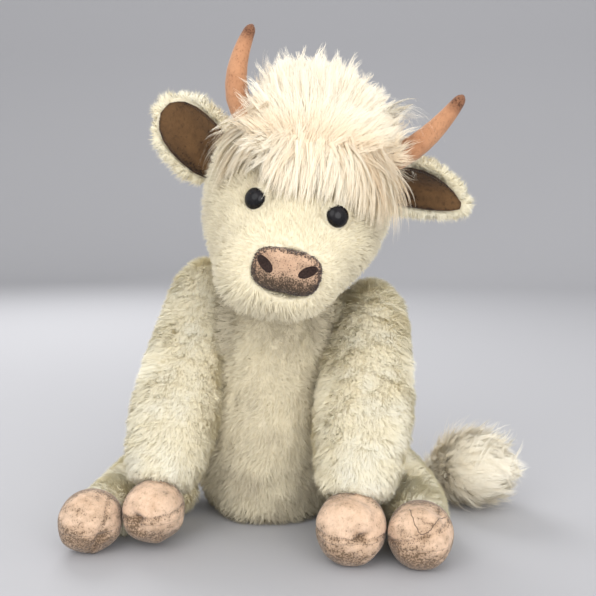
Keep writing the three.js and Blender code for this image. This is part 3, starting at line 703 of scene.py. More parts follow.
def add_torso():
    nodes = ["torso", "neck_base_disc", "neck_lock_washer"]
    nodes += [f"{leg}_{part}" for leg in LEGS for part in ("base_disc", "lock_washer")]

    def seats(points, flat=SEAT):
        return np.max([near_joint(points, leg, flat) for leg in LEGS.values()], axis=0)

    def inset(points):
        return (2.4 - 1.6 * seats(points, 40)) * (0.4 + 0.6 * ease(points[:, 2] / MM, 2, 16))

    skin = cloth_over(nodes, inset)
    at, normals, _ = read(skin)
    shift(skin, normals * ((1 - seats(at, 30)) * waves(at, 13 * MM, 96) * 0.7 * MM)[:, None])
    x, y, z = (at / MM).T
    low = fade(z, 2, 30) * ease(-y, 8, 34)
    side = low * ease(-x, 14, 40)
    shift(skin, low[:, None] * mm(0, -6, 0) + side[:, None] * mm(9, 0, 0))
    piece("torso_cloth", skin, BACKING, "torso", ["torso"])

    def lay(points, normals):
        x, y, z = (points / MM).T[..., None]
        low = fade(z, 4, 14)
        ahead = ease(np.abs(normals[:, :1]), 0.4, 0.8) * ease(z, 95, 125)
        side = np.sign(x - 5) * np.array([1.0, 0, 0]) + ahead * np.array([0, -5.0, 0])
        way = 0.25 * side - UP + low * unit(points * np.array([1, 1, 0])) * 1.2
        return swirl(points, way, 30 * MM, 71, 0.7)

    def tint(points, normals):
        x, y, z = (points / MM).T
        # the front is tinted darker than the back, and the belly between the forelegs darker still: painted
        # shade under the head
        return 0.56 - 0.34 * (ease(-y, 10, 45) * fade(np.abs(x), 40, 60)) + 0.28 * ease(y, 0, 30)

    def length(points, normals):
        side = ease(np.abs(normals[:, 0]), 0.4, 0.8) * ease(points[:, 2] / MM, 95, 125)
        return 7.5 + 2 * ease(points[:, 1] / MM, -30, 20) + 7 * side

    for part, sign in (("front", -1), ("back", 1)):
        def chance(points, normals):
            return (points[:, 1] * sign > 0) * (1 - seats(points)) * ease(points[:, 2] / MM, 0.4, 1.5)
        coat("torso_fur_" + part, skin, "torso", 72000, length, lay, 21 + sign, tint, chance, **PILE["torso"])

    # longer pile that closes the crease beside each shoulder, tinted dark as painted shade in the crease
    between = (LEGS["foreleg_right"]["pivot"][0] + LEGS["foreleg_left"]["pivot"][0]) / 2

    def crease(points, normals):
        x, y, z = (points / MM).T
        return (np.abs(x - between) > 22) * (z > 112) * (z < 152) * (y > -50) * (y < 8)

    def outward(points, normals):
        return np.sign(points[:, :1] - between * MM) * np.array([1.0, 0, 0]) + np.array([0, -0.5, -0.4])
    coat("torso_fur_crease", skin, "torso", 90000, 13, outward, 24, 0.12, crease, **PILE["crease"])


# head and eyes

NOSE = {"middle": (4.6, -79.5, -34.6), "half": (20, 9, 12.4)}
NOSE_SQUARE = 3.4
NOSE_BOW = 0.8
EYES = {"right": (-24.4, -54, 0), "left": (24.4, -54, 0)}
EYE_RADIUS = 6.85
EYE_HEIGHT = 4.9
NECK_BACK = 14
NOSTRILS = {"right": (-7.4, -32.6, 6.3, 3.1), "left": (17.0, -32.2, 5.9, 3.0)}


def add_head():
    def inset(points):
        x, y, z = in_head(points).T
        neck = fade(z, -46, -36) * fade(np.hypot(x, y - NECK_BACK), 30, 38)
        return (2.6 - 0.8 * fade(y, -72, -48)) * (1 - 0.7 * neck)

    skin = cloth_over(["head", "neck_stem_disc", "eye_washer_right", "eye_washer_left"], inset)
    piece("head_cloth", skin, BACKING, "head", ["head"])

    def lay(points, normals):
        at = in_head(points)
        cheek = ease(at[:, 1:2], -60, -10)
        way = unit(at - np.array([6, -94, -34])) + cheek * np.array([0, 0.4, -0.9])
        return swirl(points, turned(way, HEAD), 30 * MM, 81, 0.35 + 0.3 * float(cheek.mean()))

    def length(points, normals):
        x, y, z = in_head(points).T
        back = ease(y, -66, -12)
        chin = fade(z, -58, -40) * (1 - back)
        jowl = ease(-z, 34, 58) * ease(-x, -4, 24) * (1 - back)
        return 5.2 + 5 * back + 3.5 * chin + 4 * jowl

    def tint(points, normals):
        at = in_head(points)
        x, y, z = at.T
        ahead = ease(-y, -6, 24)
        # the face is tinted darker than the back of the head, and both cheeks, the fur round the eyes and
        # under the chin darker still: painted shade
        value = 0.84 - 0.34 * ahead - 0.22 * ease(-x, 10, 42) * ease(z, -62, -30) * ahead
        for side, strength, above in (("right", 0.7, [4, 0, 9]), ("left", 0.6, [2, 0, 2])):
            gap = at - np.array(EYES[side]) - np.array(above)
            value -= strength * np.exp(-(gap ** 2).sum(1) / 11 ** 2)
        return value - 0.34 * ease(x, 24, 56) * ahead - 0.1 * fade(z, -62, -44)

    def chance(points, normals):
        at = in_head(points)
        x, y, z = at.T
        bare = (np.abs((x - 5) / 17) ** 2.4 + np.abs((z + 36) / 10.5) ** 2.4 > 1) | (y > -66)
        for middle in EYES.values():
            bare = bare * (np.linalg.norm(at - np.array(middle), axis=1) > 7.2)
        return bare * (1 - fade(z, -46, -38) * (np.hypot(x, y - NECK_BACK) < 30))

    eyes = [(from_head(np.add(middle, [0, -2.5, 0])), 7.1 * MM) for middle in EYES.values()]
    for part, sign, count in (("face", -1, 52000), ("back", 1, 40000)):
        def half(points, normals):
            return chance(points, normals) * (in_head(points)[:, 1] * sign > -24 * sign)
        coat("head_fur_" + part, skin, "head", count, length, lay, 31 + sign, tint, half, avoid=eyes,
             **PILE["head"])
    return skin


def add_eyes():
    gloss = Paint("eye_black", 0.24, specular=0.16, coat_weight=0.12, coat_roughness=0.1)
    gloss.colour(gloss.ramp(gloss.noise(260, 3, 0.5), (0.3, (0.004, 0.004, 0.005)),
                            (0.75, (0.014, 0.012, 0.014))))
    gloss.bump(gloss.noise(40, 2, 0.4), 0.1, 0.25)
    dome = [(0, -11), (1.8, -11), (1.8, -0.9), (6.4, -0.8), (6.8, -0.3)]
    dome += [(EYE_RADIUS * math.cos(math.radians(a)), EYE_HEIGHT * math.sin(math.radians(a)))
             for a in range(6, 88, 6)] + [(0, EYE_HEIGHT)]
    rim = [(0, -1.2), (6.3, -1.2), (6.8, -0.9), (7.0, -0.4), (6.7, 0.0), (6.2, 0.2), (0, 0.2)]
    splay, rise = math.radians(24), math.radians(14)
    for side, sign in (("right", -1), ("left", 1)):
        way = (sign * math.sin(splay) * math.cos(rise), -math.cos(splay) * math.cos(rise), math.sin(rise))
        facing = Vector(way).to_track_quat("Z", "Y").to_matrix().to_4x4()
        seat = HEAD @ Matrix.Translation(mm(*EYES[side])) @ facing
        patch("eye_" + side + "_dome", round_rings(dome, 48, seat), gloss.material, "head",
              ["eye_" + side])
        felt = round_rings(rim, 44, seat @ Matrix.Translation(mm(-0.5, -1.1, -0.5)))
        patch("eye_" + side + "_felt", felt, EYE_WHITE, "head", ["eye_backing_" + side])

        # the pile that leans over the rim of the eye, most at its top, tinted dark as painted shade round the
        # eye
        rng = np.random.default_rng(45 + sign)
        turn = rng.uniform(0, 2 * math.pi, 620)
        over = 0.1 + 1.3 * ease(np.sin(turn), 0.1, 0.9) * rng.uniform(0.4, 1.2, len(turn))
        start = rng.uniform(7.6, 10.6, len(turn))
        share = np.linspace(0, 1, 5)
        reach = start[:, None] + (6.9 - over - start)[:, None] * share
        turn = turn[:, None] + rng.normal(0, 0.16, (len(turn), 1)) * share
        high = EYE_HEIGHT * np.sqrt(np.maximum(0, 1 - (reach / EYE_RADIUS) ** 2))
        high = high + 0.4 - 1.8 * ease(reach, 7.2, 9)
        lines = moved(np.stack([reach * np.cos(turn), reach * np.sin(turn), high], axis=2) * MM, seat)
        outward = turned(UP, seat) + np.zeros((len(turn), 3))
        strands("eye_" + side + "_pile", lines, outward, 0.32, 0.22, "head", rng, stray=0.08, widest=1.1)


# nose

def nose_depth(x, z):
    """How far the nose pad stands forward there, and how far out from its middle the place is."""
    x0, y0, z0 = NOSE["middle"]
    wide, deep, high = NOSE["half"]
    across = (x - x0) / wide
    up = (z - z0 + NOSE_BOW * across ** 2) / high
    across = across / (1 - 0.08 * np.maximum(0, -up))
    reach = np.minimum(1, (np.abs(across) ** NOSE_SQUARE + np.abs(up) ** NOSE_SQUARE) ** (1 / NOSE_SQUARE))
    out = deep * np.sqrt(1 - reach ** 2.6)
    for px, pz, long, _ in NOSTRILS.values():
        out = out - 2.8 * np.exp(-1.3 * (((x - px) / long) ** 2 + ((z - pz) / long / 0.75) ** 2))
    return y0 - (out - 0.8 * spot(across, 0.09) * fade(up, -0.2, 0.4)), reach


def nose_places(x, z, lift=0.0):
    """Places on the nose pad, raised by lift in mm."""
    return np.stack([x, nose_depth(x, z)[0] - lift, z], axis=-1)


def nose_outline(turns, reach):
    """Places round the pad at a share of its size."""
    c, sn = np.cos(turns), np.sin(turns)
    scale = reach / (np.abs(c) ** NOSE_SQUARE + np.abs(sn) ** NOSE_SQUARE) ** (1 / NOSE_SQUARE)
    across, up = c * scale * (1 - 0.08 * np.maximum(0, -sn * scale)), sn * scale
    x = NOSE["middle"][0] + NOSE["half"][0] * across
    return x, NOSE["middle"][2] + NOSE["half"][2] * up - NOSE_BOW * across ** 2


def add_nose():
    x0, y0, z0 = NOSE["middle"]
    rings = [nose_places(x0, z0)]
    rings += [nose_places(*nose_outline(circle(72), reach)) for reach in np.linspace(0.04, 0.995, 24)]
    rings.append(rings[-1] * np.array([0.9, 1, 0.9]) + np.array([0.5, 3.5, -3.5]))
    rings.append(np.array([x0, y0 + 5, z0]))

    def shade(points):
        x, y, z = in_head(points).T
        reach = nose_depth(x, z)[1]
        pits = sum(np.exp(-((x - p[0]) ** 2 + (z - p[1]) ** 2) / 40) for p in NOSTRILS.values())
        low = fade((z - z0) / NOSE["half"][2], -0.9, 0.3)
        # darker at the rim, towards the bottom and round the nostrils, where the darkening round the nostrils
        # is painted shade in their pits
        return 0.6 * ease(reach, 0.86, 1.0) + 1.15 * low + 0.3 * pits + 0.08 * waves(points, 7 * MM, 12)
    patch("nose", [from_head(ring) for ring in rings], NOSE_SUEDE, "head", ["nose_pad"],
          shade)

    for side, (px, pz, long, short) in NOSTRILS.items():
        lean = math.radians(-36 if side == "right" else 34)
        rows = [nose_places(px, pz, 0.5)]
        for reach, lift in ((0.35, 0.5), (0.65, 0.45), (0.88, 0.3), (1.0, -0.15), (0.9, -1.6)):
            u, v = reach * long * np.cos(circle(32)), reach * short * np.sin(circle(32))
            rows.append(nose_places(px + u * math.cos(lean) - v * math.sin(lean),
                                    pz + u * math.sin(lean) + v * math.cos(lean), lift))
        rows.append(nose_places(px, pz, -1.8))
        patch("nostril_" + side + "_felt", [from_head(row) for row in rows], DARK_FELT, "head",
              ["nostril_" + side])

    # short stitches round the edge of the pad
    rng = np.random.default_rng(5)
    count = 520
    turns = rng.uniform(0, 2 * math.pi, count)
    x, z = nose_outline(turns, 0.99 - 0.16 * rng.random(count) ** 1.6)
    lean = rng.uniform(0, math.pi, count)
    long = rng.uniform(0.3, 0.75, count)
    threads = [nose_places(x + sign * long * np.cos(lean), z + sign * long * np.sin(lean), lift)
               for sign, lift in ((-1, 0.1), (0, 0.25), (1, 0.1))]
    tubes("nose_stitches", [from_head(thread) for thread in np.stack(threads, axis=1)], 0.17 * MM, "head",
          5)


# horns and ears

HORNS = {
    "right": ((-36, -2, 40), (-70, -3, 54), (-57, 3, 105)),
    "left": ((36, -4, 34), (64, -6, 44), (81.5, -16, 85.5)),
}
HORN_AT = [0, 0.2, 0.4, 0.58, 0.75, 0.88, 0.95, 0.98, 1]
HORN_RADII = [8.0, 8.0, 7.5, 6.6, 5.4, 4.4, 3.7, 2.7, 1.0]
EARS = {
    "right": {"root": (-51, 2, 9), "length": 70, "half": 24.5, "rise": 147, "upper": 1.0, "lower": 1.0},
    "left": {"root": (45, 6, 20), "length": 60, "half": 19.5, "rise": 0, "upper": 1.46, "lower": 0.62},
}
EAR_AT = [0, 0.14, 0.3, 0.46, 0.62, 0.76, 0.88, 0.96, 1]
EAR_WIDE = {"round": [0.42, 0.72, 0.94, 1, 0.99, 0.91, 0.73, 0.48, 0.15],
            "over": [0.6, 0.85, 1, 0.98, 0.87, 0.69, 0.47, 0.27, 0.1],
            "under": [0.95, 1, 0.98, 0.92, 0.84, 0.72, 0.55, 0.36, 0.15]}
EAR_CUP = 7


def loft(middles, radii, sides):
    """Rings of a round body along a path, in metres, with poles at the ends."""
    along = unit(np.gradient(middles, axis=0))
    turn = circle(sides)[:, None]
    rings = [middles[0] - along[0] * radii[0] * 0.1]
    for middle, way, radius in zip(middles, along, radii):
        one = unit(np.array([0.0, 1.0, 0.0]) - way * way[1])
        rings.append(middle + radius * (np.cos(turn) * one + np.sin(turn) * np.cross(way, one)))
    return rings + [middles[-1] + along[-1] * radii[-1] * 0.25]


def add_horns():
    for side, corners in HORNS.items():
        path = bezier(*np.array(corners, float), 60)
        steps = np.concatenate([[0], np.cumsum(np.linalg.norm(np.diff(path, axis=0), axis=1))])
        share = steps / steps[-1]
        radius = np.interp(share, HORN_AT, HORN_RADII) + 0.14 * np.sin(share * 55) * spot(share - 0.3, 0.28)
        world = from_head(path)

        def shade(points):
            near = np.linalg.norm(points[:, None] - world[None], axis=2).argmin(axis=1)
            aside = in_head(points)[:, 0] - path[near, 0]
            # the tips are darker brown, and the flanks a little darker as painted shade
            return 1.4 * ease(share[near], 0.8, 0.97) + 0.06 * ease(np.abs(aside), 3, 6)
        patch("horn_" + side + "_suede", loft(world, radius * MM, 30), HORN, "head",
              ["horn_" + side], shade)
        seam = from_head(path[6:58:2] + radius[6:58:2, None] * np.array([0, 0.99, 0]))
        stitches = [(0.7 * a + 0.3 * b, 0.3 * a + 0.7 * b) for a, b in zip(seam, seam[1:])]
        tubes("horn_" + side + "_stitches", stitches, 0.3 * MM, "head")


def ear_reach(ear, at, across, length, half):
    """How far the leaf's edge lies from its middle line, on the side where across is."""
    shapes = ("round", "round") if ear["upper"] == ear["lower"] else ("over", "under")
    wide = [ear[key] * np.interp(np.asarray(at) / length, EAR_AT, EAR_WIDE[shape])
            for key, shape in zip(("upper", "lower"), shapes)]
    return half * np.where(np.asarray(across) > 0, *wide)


def ear_leaf(ear, matrix, length, half, thick, offset, folds=0.0):
    """Rings of a cupped leaf along +X that faces -Y, in metres once moved by the matrix."""
    turn = circle(40)
    face = np.copysign(np.abs(np.sin(turn)) ** 0.5, np.sin(turn))
    rows = []
    for at in np.linspace(0, 1, 34):
        across = ear_reach(ear, min(at, 0.985) * length, np.cos(turn), length, half) * np.cos(turn)
        y = EAR_CUP * (1 - (across / half) ** 2) - offset - thick / 2 * face
        y -= folds * math.exp(-at * 3.2) * np.sin(across * 0.55 + 1.1) * 1.6
        y -= folds * 0.5 * np.sin(at * 9 + across * 0.12)
        rows.append(np.stack([at * length + 0 * y, y, across], axis=1))
    rows = [rows[0].mean(axis=0)] + rows + [rows[-1].mean(axis=0) + np.array([0.4, 0, 0])]
    return [moved(row * MM, matrix) for row in rows]


def add_ears():
    for seed, (side, ear) in enumerate(EARS.items()):
        matrix = HEAD @ Matrix.Translation(mm(*ear["root"]))
        matrix = matrix @ Matrix.Rotation(math.radians(-ear["rise"]), 4, "Y")
        back = matrix.inverted()
        long, half = ear["length"], ear["half"]
        rows = ear_leaf(ear, matrix, long - 5, half - 4.5, 3.4, -0.5)
        cloth = patch("ear_" + side + "_cloth", rows, BACKING, "head", ["ear_" + side])

        def lay(points, normals):
            x, y, z = (moved(points, back) / MM).T
            share = z / ear_reach(ear, x, z, long, half)
            way = np.stack([0.35 + 1.3 * ease(x, long * 0.6, long), 0.25 + 0 * share, 1.8 * share], axis=1)
            return swirl(points, turned(way, matrix), 22 * MM, 91, 0.3)

        def inward(points):
            """How far in from the edge of the leaf, in mm."""
            x, y, z = (moved(points, back) / MM).T
            aside = ear_reach(ear, x, z, long, half) - np.abs(z)
            return np.minimum(aside / np.where(z > 0, ear["upper"], ear["lower"]), long - x)

        def front(normals):
            return turned(normals, back)[:, 1] < -0.25

        def chance(points, normals):
            return np.where(front(normals), (inward(points) < 7.5).astype(float), 1.0)

        def length(points, normals):
            rim = fade(inward(points), 3, 8)
            return np.where(front(normals), 5.5, 7) + (5 if side == "right" else 4) * rim

        coat("ear_" + side + "_fur", cloth.data, "head", 32000, length, lay, 51 + seed, 0.86, chance,
             **PILE["ear"])

        inner_long, inner_half = long - 8, half - 7.5
        rows = ear_leaf(ear, matrix, inner_long, inner_half, 1.4, 4.6, 1.0)

        def shade(points):
            x, y, z = (moved(points, back) / MM).T
            edge = ear_reach(ear, x, z, inner_long, inner_half) - np.abs(z)
            fold = spot(x, 30) * (0.5 + 0.5 * np.sin(z * 0.55 + 1.1)) ** 2
            shadow = spot(x, 38) * (0.5 + 0.5 * np.sin(z * 0.3 + x * 0.09 + 0.6))
            # darker at the rim under the fur, along the folds and near the root: painted shade
            return 0.6 * fade(edge, 0, 3.5) + 0.9 * fold + 0.6 * shadow
        patch("ear_" + side + "_lining", rows, LINING, "head", ["ear_lining_" + side],
              shade)
        stitches = []
        for sign in (1, -1):
            for at in np.linspace(0.04, 0.985, 46) * inner_long:
                across = sign * ear_reach(ear, at, sign, inner_long, inner_half) * np.array([0.99, 0.9])
                cup = EAR_CUP * (1 - (across / inner_half) ** 2)
                stitches.append(moved(np.stack([at + 0 * across, cup - 5.6, across], axis=1) * MM, matrix))
        tubes("ear_" + side + "_stitches", stitches, 0.2 * MM, "head")


# forelock

PARTING = (0, -66, 34)
# where the fringe ends, from right to left across the brow
FRINGE_AT = [-66, -52, -40, -31, -24, -16, -4, 6, 12, 19, 27, 36, 46, 58, 66]
FRINGE_END = [8, -6, 4, 14, 12, 1, 0, 0, 2, 3, 3, -1, -5, -8, 0]
# how near to its end's place across the brow each lock of the fringe is rooted
FRINGE_SWING_AT = [-66, -34, -14, 4, 30, 64]
FRINGE_SWING_SHARES = [0.56, 0.5, 0.8, 1, 0.7, 0.62]


def outside(lines, tree, gap):
    """Pushes points that lie in the skin, or nearer to it than the gap, out along its normal."""
    flat = lines.reshape(-1, 3)
    for index, point in enumerate(flat):
        place, normal, _, _ = tree.find_nearest(Vector(point))
        if (Vector(point) - place).dot(normal) < gap:
            flat[index] = np.array(place + normal * gap)
    return flat.reshape(lines.shape)


def head_arcs(root, bulge, end, count):
    """Curves from root over bulge to end, in metres."""
    return np.stack([bezier(*from_head(trio), count) for trio in zip(root, bulge, end)])


def add_forelock(skin):
    rng = np.random.default_rng(7)

    def inset(points):
        x, y, z = in_head(points).T
        brow = ease(-y, 16, 46) * ease(z, 40, 50) * fade(z, 58, 70)
        low_back = ease(y, -8, 28) * fade(z, 44, 66)
        return 12.5 - 7 * low_back - 2.5 * brow
    core = cloth_over(["forelock"], inset, 4, 16)
    x, y, z = in_head(read(core)[0]).T
    left = ease(z, 24, 42) * fade(y, 2, 26) * np.maximum(0, -28 - x)
    right = ease(x, 6, 34) * ease(z, 40, 62)
    shift(core, turned(np.stack([0.7 * left, 0 * left, -6 * right], axis=1) * MM, HEAD))
    piece("forelock_cloth", core, HAIR_BACKING, "head", ["forelock"])

    # the pile over the crown, which sweeps up and back from its parting over the brow
    def clear(points, normals):
        x, y, z = in_head(points).T
        return ((x > -36) | (y > 10)) * ease(z + 0.1 * np.abs(x), 30, 38)

    def lay(points, normals):
        at = in_head(points)
        way = unit(at - np.array(PARTING)) + np.array([0, 0, 0.4]) * (at[:, 1:2] < 0)
        return swirl(points, turned(way, HEAD), 40 * MM, 73, 0.25)

    def tint(points, normals=None):
        x, y, z = in_head(points).T
        return 0.8 - 0.4 * spot(z - 36, 9) * (y < -20)

    for part, sign, count, seed in (("front", -1, 60000, 71), ("back", 1, 50000, 72)):
        def chance(points, normals):
            return clear(points, normals) * ((in_head(points)[:, 1] + 22) * sign > 0)
        coat("forelock_crown_" + part, core, "head", count, 15, lay, seed, tint, chance, hair=True,
             **PILE["crown"])
    long_locks("forelock_locks", core, 1250, 14, "head", lay, 29, 74, tint, 0.36, clear, 0.4)

    # the hair that falls over the back edge of the crown
    def nape(points, normals):
        x, y, z = in_head(points).T
        return (y > -6) * (z > 10)

    def fall(points, normals):
        return turned(unit(in_head(points) * np.array([1, 1, 0])) * 0.8 + np.array([0, 0, -0.7]), HEAD)
    long_locks("forelock_nape", core, 1500, 13, "head", fall, 25, 76, tint, 0.25, nape, 0.5)

    # the hair that sweeps down beside the right horn
    def temple(points, normals):
        x, y, z = in_head(points).T
        return (x < -16) * (z < 46) * (z > 22) * (y < 14)

    def sweep(points, normals):
        return turned(np.array([[-0.7, -0.1, -0.75]]) + 0 * points, HEAD)
    long_locks("forelock_temple", core, 1500, 16, "head", sweep, 25, 75, lambda points: 0.84, 0.2, temple)

    # arcs of hair that fall past the left horn
    arcs = 44
    root, bulge, end = (np.array(middle) + rng.normal(0, spread, (arcs, 3)) for middle, spread in
                        (((30, -14, 58), 5), ((50, -12, 82), 7), ((64, -14, 58), 8)))
    paths = head_arcs(root, bulge, end, 7)
    lines, out = locks(paths, turned(unit(root), HEAD), 9, (0.8, 2.4), rng, 0.4, 0.12, 1.2)
    strands("forelock_points", lines, out, 0.24, 0.92, "head", rng, True, 0.05)

    # the fringe, which fans out over the brow from the parting
    count = 700
    place = rng.choice([-1, 0, 1], count, p=[0.2, 0.45, 0.35])
    right, left, middle = (rng.uniform(*ends, count) for ends in ((-66, -30), (26, 64), (-30, 30)))
    across = np.where(place < 0, right, np.where(place > 0, left, middle))
    reach = np.interp(across, FRINGE_AT, FRINGE_END) - 2 + rng.uniform(0, 30, count) * rng.random(count)
    kept = (np.abs(across + 28) > 6) | (rng.random(count) < 0.4)
    across, reach, count = across[kept], reach[kept], kept.sum()
    swing = np.interp(across, FRINGE_SWING_AT, FRINGE_SWING_SHARES)
    root = np.stack([across * swing + rng.normal(0, 2.5, count), 0 * across,
                     37 + rng.normal(0, 4, count)], axis=1)
    root[:, 2] += 8 * ease(-across, 30, 44)
    root[:, 1] = -8 - 47 * np.sqrt(np.maximum(0.02, 1 - (root[:, 0] / 60) ** 2)) + rng.normal(0, 2, count)
    end = np.stack([across, -10 - 46 * np.sqrt(np.maximum(0.02, 1 - (across / 68) ** 2)), reach], axis=1)
    end += rng.normal(0, 2.5, (count, 3))
    flat = unit((end + np.array([0, 10, 0])) * np.array([1, 1, 0]))
    bulge = root * 0.5 + end * 0.5 + flat * rng.uniform(2, 6, (count, 1)) + np.array([0, 0, 6])
    bulge[:, 0] += 0.25 * (end[:, 0] - root[:, 0])
    paths = head_arcs(root, bulge, end, 9)
    points, _, corners = read(skin)
    tree = BVHTree.FromPolygons([tuple(p) for p in points], [tuple(c) for c in corners.tolist()])
    paths[:, 1:] = outside(paths[:, 1:], tree, 4 * MM)
    outward = unit(turned(flat + np.array([0, 0, 0.35]), HEAD))
    each = 17
    lines, out = locks(paths, outward, each, (0.8, 3.2), rng, 0.5, 0.08, 1.1)
    own = np.repeat(rng.normal(0, 0.1, count), each)
    tint = 0.72 + 0.05 * waves(lines[:, 0], 12 * MM, 3) + rng.normal(0, 0.05, len(lines)) + own
    # the fringe is tinted darker towards the head's left: painted shade on that side of the face
    tint = tint - 0.12 * ease(in_head(lines[:, -1])[:, 0], 20, 55)
    strands("forelock_fringe", lines, out, 0.3, tint, "head", rng, True)


# hooves

SEAM = -0.12
# for each hoof, how far its stitched seam leans and how high it runs, where its toe is pinched, to the side
# and up, and how deep
HOOVES = {
    "foreleg_right": (0.1, -0.02, (0.7, -0.06), 1), "foreleg_left": (-0.06, -0.14, (-0.3, -0.04), 1),
    "hindleg_right": (1.2, -0.32, (-0.45, -0.35), 0.5), "hindleg_left": (0.32, 0.1, (-0.2, 0.25), 0.3),
}
# creases over one toe, drawn as dark threads that are painted shade in the creases, in shares of its radius
# to the right and up as the photo shows it
CREASE_SHARES = [[(-0.33, 0.85), (-0.2, 0.55), (-0.03, 0.27)], [(0.33, 0.42), (0.48, 0.7), (0.73, 0.62)],
                 [(-0.03, 0.27), (0.14, 0.2), (0.33, 0.42)]]


def hoof_ways(leg, name):
    """Front, side and seam directions of a hoof as the photo shows it, its seam level, and the direction
    and depth of its pinch."""
    front = unit((np.array(CAMERA_PLACE) - np.array(leg["hoof"])) * np.array([1, 1, 0.35]))
    across = unit(np.cross(front, UP))
    lean, level, (aside, up), depth = HOOVES[name]
    axis = unit(UP * math.cos(lean) + across * math.sin(lean))
    return front, across, axis, axis @ front + level, unit(front + across * aside + UP * up), depth


def hoof_surface(leg, name, way):
    """Places on a hoof, in mm, for directions from its middle, with its seam, pinched toe and soft lumps."""
    radius = leg["radius"]
    front, across, axis, level, pinch, depth = hoof_ways(leg, name)
    ahead = ease(way @ front, -0.3, 0.5)
    seam = spot(way @ axis - level, 0.055) * ahead
    toe = np.arccos(np.clip(way @ pinch, -1, 1))
    gathers = spot(toe, 0.5) * (0.5 + 0.5 * np.sin(7 * np.arctan2(way @ UP, way @ across)))
    lumps = waves(way, 1.3, len(name)) * 0.034 + waves(way, 0.5, 8) * 0.014
    scale = 1 - 0.04 * seam - depth * (0.26 * spot(toe, 0.2) + 0.09 * gathers) + lumps * ahead
    square = 1 + 0.06 * (1 - (np.abs(way) ** 3.2).sum(axis=1, keepdims=True))
    return np.array(leg["hoof"]) + way * np.array([radius, radius * 1.06, radius]) * scale[:, None] * square


def hoof_rows(leg, name, low, high):
    """Rings of a hoof between two height shares, with the sole flat on the floor."""
    rows = []
    turn = circle(96)
    for angle in np.linspace(math.asin(low), math.asin(high), 40):
        way = np.stack([math.cos(angle) * np.cos(turn), math.cos(angle) * np.sin(turn),
                        math.sin(angle) + 0 * turn], axis=1)
        point = hoof_surface(leg, name, way)
        if low < SEAM:
            point[:, 2] = np.maximum(point[:, 2], 0.25)
        rows.append(point * MM)
    return [rows[0].mean(axis=0)] + rows + [rows[-1].mean(axis=0)]


def add_hooves():
    for number, (name, leg) in enumerate(LEGS.items()):
        rng = np.random.default_rng(60 + number)
        front, across, axis, level, pinch, depth = hoof_ways(leg, name)
        # the hind hooves are painted darker all over: painted shade behind the forelegs
        hind_shade = 0.28 if name.startswith("hind") else 0.04

        def shade(points):
            way = unit(points / MM - np.array(leg["hoof"]))
            low = fade(way[:, 2] - 0.25 * way @ across, -0.75, 0.35)
            toe = spot(np.arccos(np.clip(way @ pinch, -1, 1)), 0.2)
            blot = 0.2 * waves(points, 9 * MM, 4) + 0.16 * waves(points, 4 * MM, 6)
            # painted shade in the seam and on the sides turned away, and darker towards the bottom
            shade_and_low = 0.4 * spot(way @ axis - level, 0.05) + 1.05 * low + 0.8 * fade(way @ front, 0.0, 0.5)
            # painted shade in the pinched toe, random blots, and the hind hooves' painted shade
            return shade_and_low + 0.9 * depth * toe + blot + hind_shade
        for part, low, high in (("hoof", SEAM, 0.999), ("sole", -0.999, SEAM - 0.002)):
            patch(f"{name}_{part}_suede", hoof_rows(leg, name, low, high), HOOF, name,
                  [f"{name}_{part}"], shade)

        # stitches across the seam, left out where the toe is pinched and at the floor
        threads = []
        side_way = unit(np.cross(axis, front))
        ahead = np.cross(side_way, axis)
        base = math.sqrt(1 - level ** 2)
        for turn in np.arange(-1.3, 1.3, 0.055):
            turn += rng.normal(0, 0.012)
            step, drift = rng.choice([-0.045, 0.045]), rng.normal(0, 0.012)
            round_way = base * (math.cos(turn) * ahead + math.sin(turn) * side_way)
            ends = unit(np.array([round_way + (level + step * share + drift) * axis for share in (1, 1.7)]))
            pair = hoof_surface(leg, name, ends)
            if pair[:, 2].min() > 0.6 and math.acos(min(1.0, float(ends[0] @ pinch))) > 0.3:
                threads.append(pair * MM)
        tubes(name + "_hoof_stitches", threads, 0.16 * MM, name)
        if name == "hindleg_left":
            lines = []
            high = unit(np.cross(across, front))
            # dark threads along the creases of this toe: painted shade in the creases
            for crease in CREASE_SHARES:
                fine = bezier(*np.array(crease), 12) + rng.normal(0, 0.012, (12, 2))
                ahead = np.sqrt(np.maximum(0.02, 1 - (fine ** 2).sum(axis=1)))[:, None]
                way = unit(ahead * front - fine[:, :1] * across + fine[:, 1:] * high)
                lines.append(hoof_surface(leg, name, way) * MM)
            tubes(name + "_hoof_creases", lines, 0.2 * MM, name)


# tail and tuft

TAIL = [(6, 53, 26), (22, 66, 16), (52, 70, 8), (84, 56, 6.6), (105, 36, 11), (116, 20, 20)]
TUFT_START, TUFT_END = (112, 22, 17), (169, -8, 26)


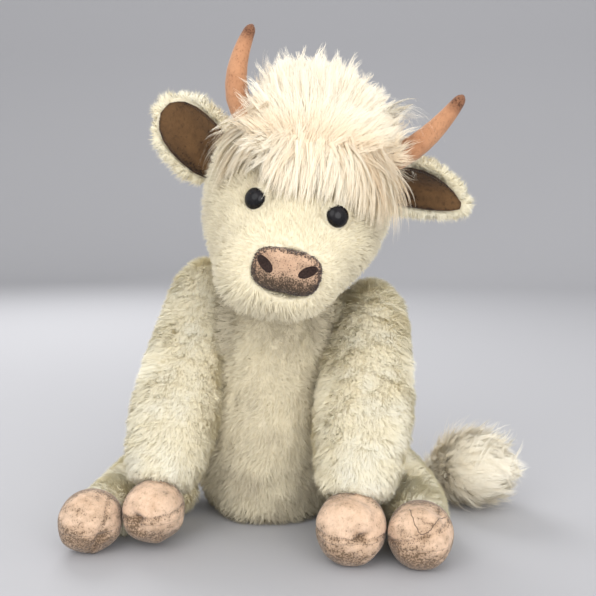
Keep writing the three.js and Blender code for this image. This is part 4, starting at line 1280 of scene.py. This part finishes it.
def add_tail():
    skin = cloth_over(["tail"], 2.2, 2.5, 6)
    piece("tail_cloth", skin, BACKING, "torso", ["tail"])
    route = np.array(TAIL, float) * MM
    fine = np.stack([np.interp(np.linspace(0, 5, 60), range(6), route[:, i]) for i in range(3)], axis=1)
    ways = unit(np.gradient(fine, axis=0))

    def lay(points, normals):
        near = np.linalg.norm(points[:, None] - fine[None], axis=2).argmin(axis=1)
        return swirl(points, ways[near], 20 * MM, 95, 0.6)

    def above_floor(points, normals):
        return ease(points[:, 2] / MM, 0.5, 1.5)
    coat("tail_fur", skin, "torso", 14000, 8, lay, 61, 0.6, above_floor, **PILE["tail"])

    start, end = mm(*TUFT_START), mm(*TUFT_END)
    core = cloth_over(["tail_tuft"], 8, 3, 12)
    shift(core, mm(-6, 2, 0))
    piece("tuft_cloth", core, HAIR_BACKING, "torso", ["tail_tuft"])
    along = unit(end - start)

    def way(points, normals):
        return along + 0 * points

    def share(points):
        """How far along the tuft."""
        return (points - start) @ along / np.linalg.norm(end - start)

    def tint(points, normals=None):
        return 0.72 + 0.23 * ease(share(points), 0.1, 0.6)
    coat("tail_tuft_pile", core, "torso", 34000, 12, way, 94, tint, None, hair=True, **PILE["tuft"])
    long_locks("tail_tuft_hair", core, 640, 26, "torso", way, 28, 95, tint, 0.34, None, 0.3, (2.0, 5))
    long_locks("tail_tuft_wisps", core, 260, 7, "torso",
               lambda points, normals: way(points, normals) + 1.2 * UP,
               30, 96, lambda points: tint(points) + 0.06, 0.45,
               lambda points, normals: normals[:, 2] > 0.1, 0.9, (2.5, 6))
    # the base locks are tinted paler: painted light against the shade of the leg
    long_locks("tail_tuft_base", core, 2100, 16, "torso", lambda points, normals: -way(points, normals),
               17, 97, lambda points: 0.2 + tint(points), 0.3,
               lambda points, normals: share(points) < 0.34, 0.6, (1.8, 4.2))


def paint_joints():
    """The discs, washers and stems keep their solids and get plain moulded plastic."""
    plastic = grain_paint("joint_plastic", 0.6, (300, 4, 0.6), (0.35, (0.6, 0.53, 0.38)),
                          (0.7, (0.72, 0.65, 0.48)), 0.1, 0.4, specular=0.3)
    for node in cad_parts.values():
        if not node.hide_render:
            node.data.materials.clear()
            node.data.materials.append(plastic)


add_camera()
add_stage()
add_light("key", (-0.5, -1.3, 1.0), (0.02, -0.02, 0.14), 1.3, 9.3)
add_light("fill", (0.8, -1.25, 0.5), (0.02, -0.02, 0.12), 1.2, 12)
add_light("back", (-0.6, 0.9, 0.9), (0.02, -0.02, 0.16), 0.8, 9)
add_world()
bpy.context.scene.view_settings.view_transform = "Standard"
add_legs()
add_torso()
head_skin = add_head()
add_eyes()
add_nose()
add_horns()
add_ears()
add_forelock(head_skin)
add_hooves()
add_tail()
paint_joints()
